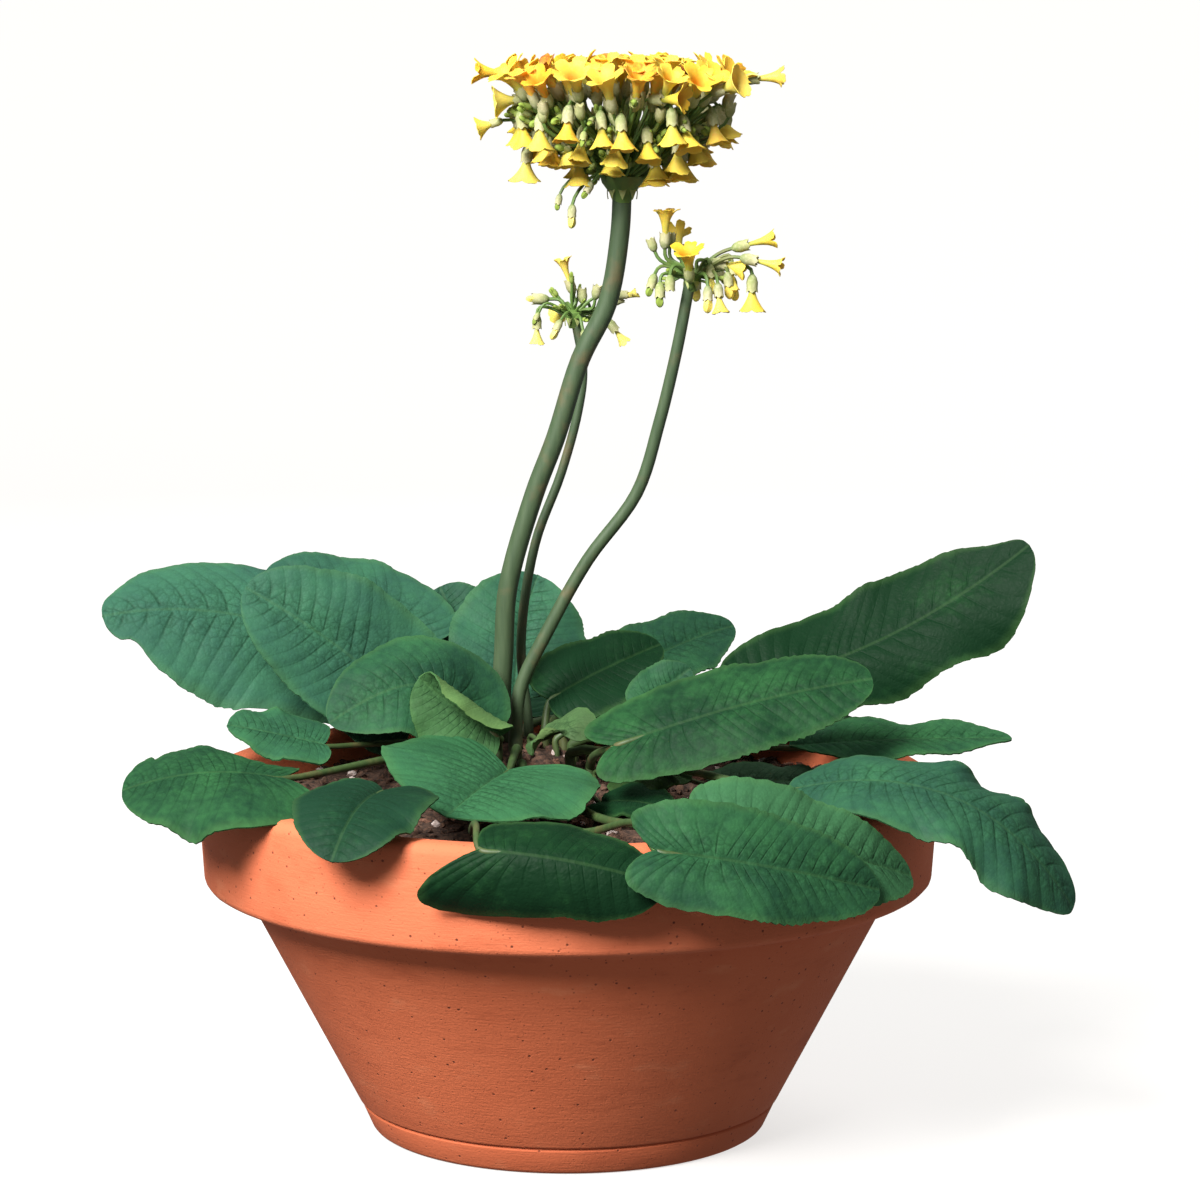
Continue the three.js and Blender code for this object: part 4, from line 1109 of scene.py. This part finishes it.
# The main head: a flat ragged crown of upturned funnels over three tiers of nodding bells
MAIN_BOSS = dict(centre=Vector((22, 20, 383)), radius=7.5, height=8, lift=0, bracts=8, spread=1.2)
CROWN_RINGS = [
    dict(count=22, radius=49, level=429.5, tilt=34, lift=0.3),
    dict(count=17, radius=39, level=431, tilt=25, lift=0.5),
    dict(count=13, radius=28.5, level=432, tilt=18, lift=0.6),
    dict(count=8, radius=17.5, level=433, tilt=12, lift=0.6),
    dict(count=3, radius=7, level=433.5, tilt=7, lift=0.4),
]
CROWN_TOP = 436
BELL_TIERS = [
    dict(name="bells_upper", count=19, radius=43, level=399, phase=0.5, swell=0.3, lift=0.1),
    dict(name="bells_middle", count=14, radius=33, level=390.5, phase=0, swell=0.4, lift=-0.2),
    dict(name="bells_lower", count=9, radius=21.5, level=383, phase=0.5, swell=0.3, lift=-0.5),
]
BELL_REACH = BELL_OUTLINE[-1][0]
FUNNEL_REACH, FUNNEL_MOUTH = FUNNEL_OUTLINE[-1]
# Single flowers that stray from the main head
STRAY_FLOWERS = [
    bloom("funnel", (-20, 22, 426), (-1, 0, 0.1), lift=0.6, scale=0.75),
    bloom("bell", (-15, 14, 417), (-1, -0.1, -0.12), lift=0.4, tone=(0, 0, 0.6)),
    bloom("bell", (-26, 20, 408), (-1, 0, -0.32), lift=0.2, size=0.75, tone=(0, 0, 0.4)),
    bloom("funnel", (70, 24, 424), (1, 0, 0.08), lift=0.6, scale=0.7),
    bloom("bell", (60, 14, 414), (0.3, -0.1, -0.95), lift=0.3, tone=(0, 0, 0.2)),
    bloom("funnel", (32, -16, 417), (0.85, -0.5, 0.02), lift=0.3, scale=0.85),
    bloom("bell", (57, -10, 419), (0.8, -0.5, 0.35), lift=0.4, tone=(0, 0, 0.5)),
    bloom("bell", (-16, 18, 398), (-0.08, 0, -1), lift=-0.1, tone=(0, 0, 0.5)),
    bloom("bell", (-10, 12, 406), (0.1, -0.1, -1), lift=0, tone=(0, 0, 0.3)),
    bloom("bell", (-1, 2, 404), (0.15, -0.1, -1), lift=-0.1, tone=(0, 0, 0.4)),
    bloom("bell", (46, 6, 399), (0, -0.1, -1), lift=-0.2, tone=(0, 0, 0.3)),
    bloom("bell", (34, 4, 396), (0.05, -0.1, -1), lift=-0.3, size=0.95),
    bloom("bud", (2, 6, 375), (-0.05, 0, -1), lift=1.2, size=0.75, tone=(0, 0, 1)),
    bloom("green bud", (-3, 8, 379), (-0.2, 0, -1), lift=1.2, size=0.6),
    bloom("green bud", (10, 5, 384), (-0.6, 0, -1), lift=0.6, size=0.7),
]
# Bare calyces under the crown, and the young buds that fill the cone of pedicels
CALYX_RING = dict(count=34, radii=(26, 44), levels=(403, 411), lift=0.3)
YOUNG_BUDS = dict(count=150, radii=(10, 46), levels=(388, 410), sizes=(0.45, 0.8), lift=0)


def crown_tone(rng):
    """Most funnels are yellow, many are turning orange or pale, and a few are brown and dry."""
    pick = rng.random()
    if pick < 0.1:
        return 0.5, rng.uniform(0.4, 0.7), 0
    return rng.uniform(0, 0.9) ** 1.5, 0, rng.uniform(0, 0.3)


def head_point(around, radius, level):
    """A point round the main head's middle, at a level of its own."""
    point = ring_point(radius, around, level)
    point.xy += MAIN_BOSS["centre"].xy
    return point


def make_crown(green, rng):
    """Rings of upturned funnels, and the stray flowers."""
    crown = Shape("crown_petals", PETAL_OUTSIDE, PETAL_INSIDE)
    for ring in CROWN_RINGS:
        for k in range(ring["count"]):
            around = (k + rng.uniform(-0.3, 0.3)) / ring["count"]
            tilt = math.radians(ring["tilt"] + rng.uniform(-12, 12))
            sideways = ring_point(1, around + 0.25, 0) * rng.uniform(-0.4, 0.4)
            lean = (ring_point(1, around, 0) + sideways).normalized()
            aim = lean * math.sin(tilt) + UP * math.cos(tilt)
            scale = rng.uniform(0.88, 1.12)
            highest = CROWN_TOP - FUNNEL_MOUTH * scale * math.sin(tilt)
            level = min(ring["level"] + rng.uniform(-3, 1.5), highest)
            mouth = head_point(around, ring["radius"] + rng.uniform(-2.5, 1.5), level)
            spec = bloom("funnel", mouth - aim * FUNNEL_REACH, aim, lift=ring["lift"], scale=scale,
                         tone=crown_tone(rng))
            flower(green, crown, MAIN_BOSS, spec, rng)
    for spec in STRAY_FLOWERS:
        flower(green, crown, MAIN_BOSS, spec, rng)
    crown.finish("petal", "corollas_crown")


def make_bells(green, tier, rng):
    """A ring of nodding bells."""
    bells = Shape(tier["name"] + "_petals", PETAL_OUTSIDE, PETAL_INSIDE)
    for k in range(tier["count"]):
        around = (k + tier["phase"] + rng.uniform(-0.3, 0.3)) / tier["count"]
        level = tier["level"] + tier["swell"] * math.sin(3 * around * FULL_TURN) + rng.uniform(-2.8, 2.8)
        aim = ring_point(1, around, 0) * rng.uniform(-0.2, 0.3)
        aim = (aim + Vector((rng.uniform(-0.1, 0.1), 0, -1))).normalized()
        mouth = head_point(around, tier["radius"] + rng.uniform(-2.5, 1.5), level)
        spec = bloom("bell", mouth - aim * BELL_REACH, aim, lift=tier["lift"],
                     scale=rng.uniform(0.76, 0.95))
        flower(green, bells, MAIN_BOSS, spec, rng)
    bells.finish("petal", tier["name"])


def make_main_head():
    rng = random.Random("main head")
    green = Shape("scape_main_green", STEM, CALYX, PETAL_OUTSIDE, PEDICEL_GREEN)
    scape(green, SCAPES["scape_main"])
    boss_lump(green, MAIN_BOSS)
    make_crown(green, rng)
    for tier in BELL_TIERS:
        make_bells(green, tier, rng)
    for _ in range(CALYX_RING["count"]):
        radius = rng.uniform(*CALYX_RING["radii"])
        level = rng.uniform(*CALYX_RING["levels"])
        around = rng.random()
        aim = UP + ring_point(1, around, 0) * rng.uniform(-0.1, 0.6)
        spec = bloom("calyx", head_point(around, radius, level), aim, lift=CALYX_RING["lift"], size=0.9)
        flower(green, None, MAIN_BOSS, spec, rng)
    for _ in range(YOUNG_BUDS["count"]):
        share = rng.random()
        radius = mix(*YOUNG_BUDS["radii"], share) * rng.uniform(0.85, 1)
        level = mix(*YOUNG_BUDS["levels"], share) + rng.uniform(-3, 5)
        around = rng.random()
        aim = ring_point(1, around, 0) * rng.uniform(0.2, 1) + UP * rng.uniform(-0.8, 0.8)
        spec = bloom("green bud", head_point(around, radius, level), aim, lift=YOUNG_BUDS["lift"],
                     size=rng.uniform(*YOUNG_BUDS["sizes"]), green=rng.uniform(0.5, 1))
        flower(green, None, MAIN_BOSS, spec, rng)
    green.finish("stem", "scape_main")


# The two small heads: every flower is listed
RIGHT_BOSS = dict(centre=Vector((50, 10, 345)), radius=4, height=5, lift=0.3, bracts=6, spread=1)
RIGHT_FLOWERS = [
    bloom("funnel", (39, 8, 357), (0.02, 0, 1), size=0.95, scale=0.78, tone=(0.3, 0, 0.2)),
    bloom("funnel", (66, 12, 357), (0.97, 0, 0.24), scale=0.55, tone=(0.1, 0, 0.2)),
    bloom("funnel", (69, 2, 354), (0.97, -0.1, -0.2), scale=0.55, tone=(0.1, 0, 0.3)),
    bloom("funnel", (49, 3, 344), (-0.08, -0.45, 0.88), lift=-0.3, size=0.95, tone=(0.1, 0, 0)),
    bloom("bell", (57, 8, 352), (0.95, -0.1, -0.2), scale=0.75, tone=(0, 0, 0.3)),
    bloom("bell", (74, 6, 347), (0, 0, -1), scale=0.8, tone=(0.1, 0, 0.1)),
    bloom("bell", (60, 0, 344), (0.1, -0.2, -1), size=0.85, scale=0.7, tone=(0, 0, 0.5)),
    bloom("funnel", (46, 26, 352), (-0.1, 0.7, 0.6), scale=0.8, tone=(0, 0, 0.2)),
    bloom("green bud", (35, 9, 347), (-0.3, 0, -1), size=0.85),
    bloom("green bud", (37, 4, 344), (0, -0.1, -1), size=0.9),
    bloom("calyx", (41, 2, 347), (0, 0, -1), size=0.9),
    bloom("calyx", (35, 8, 356), (-0.4, 0, 1), size=0.8),
    bloom("calyx", (41, 14, 357), (0.1, 0, 1), size=0.9),
    bloom("bud", (56, -2, 343), (0, -0.1, -1), size=0.85),
    bloom("bell", (57, 5, 351), (0.1, -0.2, -1), size=0.8, scale=0.65, tone=(0, 0, 0.6)),
    bloom("bell", (66, 8, 352), (0, -0.2, -1), size=0.8, scale=0.6, tone=(0, 0, 0.6)),
    bloom("bud", (64, 5, 348), (0.1, -0.1, -1), size=0.85, tone=(0, 0, 0.4)),
    bloom("bud", (66, 12, 346), (0.15, 0.1, -1), size=0.8),
    bloom("bud", (52, 24, 346), (0, 0.2, -1), size=0.9),
    bloom("green bud", (60, 19, 349), (0.5, 0.4, -0.8), size=0.8),
]
BACK_BOSS = dict(centre=Vector((2, 50, 327)), radius=4, height=5, lift=0.3, bracts=6, spread=1)
BACK_FLOWERS = [
    bloom("funnel", (2, 50, 336), (-0.3, 0, 0.95), size=0.9, scale=0.58, tone=(0.5, 0.15, 0.6)),
    bloom("bell", (-13, 46, 328), (0, 0, -1), size=0.85, scale=0.6, tone=(0.3, 0, 0.9)),
    bloom("bell", (17, 53, 332), (0.9, 0.1, 0.35), size=0.85, scale=0.4, tone=(0, 0, 1)),
    bloom("bell", (16, 56, 325), (0.6, 0.2, -0.8), size=0.85, scale=0.5, tone=(0, 0, 0.9)),
    bloom("bell", (-2, 64, 330), (-0.2, 0.85, -0.3), size=0.9, scale=0.7, tone=(0.2, 0, 0.6)),
    bloom("bud", (-8, 50, 334), (-1, -0.1, 0.02), scale=0.6, tone=(0, 0, 1)),
    bloom("calyx", (6, 52, 332), (-0.1, 0.1, 1), size=0.9),
    bloom("calyx", (11, 48, 334), (0.2, -0.1, 1), size=0.85),
    bloom("bud", (-3, 42, 326), (-0.5, -0.2, -1), size=0.7, tone=(0, 0, 1)),
    bloom("bud", (6, 40, 322), (0.35, -0.2, -1), size=0.8, tone=(0, 0, 1)),
    bloom("bud", (19, 50, 336), (1, 0.1, -0.05), size=0.75, scale=0.7, tone=(0, 0, 1)),
    bloom("green bud", (9, 62, 328), (0.2, 0.2, -1), size=0.8),
    bloom("green bud", (-12, 44, 329), (-0.5, 0, -1), size=0.5),
]
YOUNG_ROUND_SMALL = dict(count=12, reach=(6, 14), sizes=(0.3, 0.5))
RIGHT_NODES = ["upright", "far", "reaching", "open", "side", "hanging", "front", "rear"]
BACK_NODES = ["upright", "hanging", "right", "drooping", "rear"]


def make_small_head(side, boss, flowers, nodes):
    rng = random.Random(side)
    green = Shape(f"scape_{side}_green", STEM, CALYX, PETAL_OUTSIDE, PEDICEL_GREEN)
    petals = Shape(f"{side}_head_petals", PETAL_OUTSIDE, PETAL_INSIDE)
    scape(green, SCAPES[f"scape_{side}"])
    boss_lump(green, boss)
    for spec in flowers:
        flower(green, petals, boss, spec, rng)
    for _ in range(YOUNG_ROUND_SMALL["count"]):
        way = Vector((rng.uniform(-1, 1), rng.uniform(-1, 1), rng.uniform(-0.2, 0.7))).normalized()
        foot = boss["centre"] + way * rng.uniform(*YOUNG_ROUND_SMALL["reach"])
        spec = bloom("green bud", foot, way, size=rng.uniform(*YOUNG_ROUND_SMALL["sizes"]), green=0.9)
        flower(green, petals, boss, spec, rng)
    green.finish("stem", f"scape_{side}")
    petals.finish("petal", *[f"corolla_{side}_{node}" for node in nodes])


# The stage

def make_floor():
    """A pale round floor that curves up into a wall all round, and neither lights nor shades the plant."""
    turn = STAGE["turn"]
    flat = STAGE["radius"] - turn
    arc = [math.radians(9 * k) for k in range(1, 10)]
    run = [(0, 0), (flat, 0)]
    run += [(flat + turn * math.sin(angle), turn - turn * math.cos(angle)) for angle in arc]
    run += [(STAGE["radius"], turn), (STAGE["radius"], STAGE["height"])]
    shape = Shape("floor", FLOOR)
    spin_profile(shape, run, STAGE["steps"])
    floor = shape.build()
    floor.visible_diffuse = False
    floor.visible_glossy = False
    floor.visible_shadow = False


def add_light(name, azimuth, elevation, power, size, tint, glossy):
    """A square light that looks at the plant. azimuth goes to the right from the viewer's side."""
    turn, lift = math.radians(azimuth), math.radians(elevation)
    way = Vector((math.sin(turn) * math.cos(lift), -math.cos(turn) * math.cos(lift), math.sin(lift)))
    data = bpy.data.lights.new(name, "AREA")
    data.size = size
    data.energy = power
    data.color = tint
    light = bpy.data.objects.new(name, data)
    light.location = LIGHT_AIM + way * LIGHT_DISTANCE
    light.rotation_euler = (-way).to_track_quat("-Z", "Y").to_euler()
    light.visible_camera = False
    light.visible_glossy = glossy
    bpy.context.scene.collection.objects.link(light)


def make_studio():
    scene = bpy.context.scene
    back = Vector((0, -math.cos(CAMERA_ELEVATION), math.sin(CAMERA_ELEVATION)))
    data = bpy.data.cameras.new("camera")
    data.lens = CAMERA_LENS
    camera = bpy.data.objects.new("camera", data)
    camera.location = (CAMERA_TARGET + back * CAMERA_DISTANCE) * MILLIMETRE
    camera.rotation_euler = (-back).to_track_quat("-Z", "Y").to_euler()
    scene.collection.objects.link(camera)
    scene.camera = camera
    add_light("key", azimuth=-33, elevation=38, power=190, size=1.1, tint=(1, 0.985, 0.96), glossy=True)
    add_light("rear", azimuth=155, elevation=48, power=50, size=1.4, tint=(1, 1, 1), glossy=False)
    world = bpy.data.worlds.new("studio")
    world.use_nodes = True
    world.node_tree.nodes["Background"].inputs["Color"].default_value = (1, 1, 1, 1)
    world.node_tree.nodes["Background"].inputs["Strength"].default_value = WORLD_STRENGTH
    scene.world = world
    scene.view_settings.view_transform = "Standard"


make_pot()
make_soil()
for leaf_name, leaf_values in LEAVES.items():
    make_leaf(leaf_name, leaf_values, leaf_name)
for leaf_name, leaf_values in YOUNG_LEAVES.items():
    make_leaf(leaf_name, leaf_values)
make_main_head()
make_small_head("right", RIGHT_BOSS, RIGHT_FLOWERS, RIGHT_NODES)
make_small_head("back", BACK_BOSS, BACK_FLOWERS, BACK_NODES)
make_floor()
make_studio()
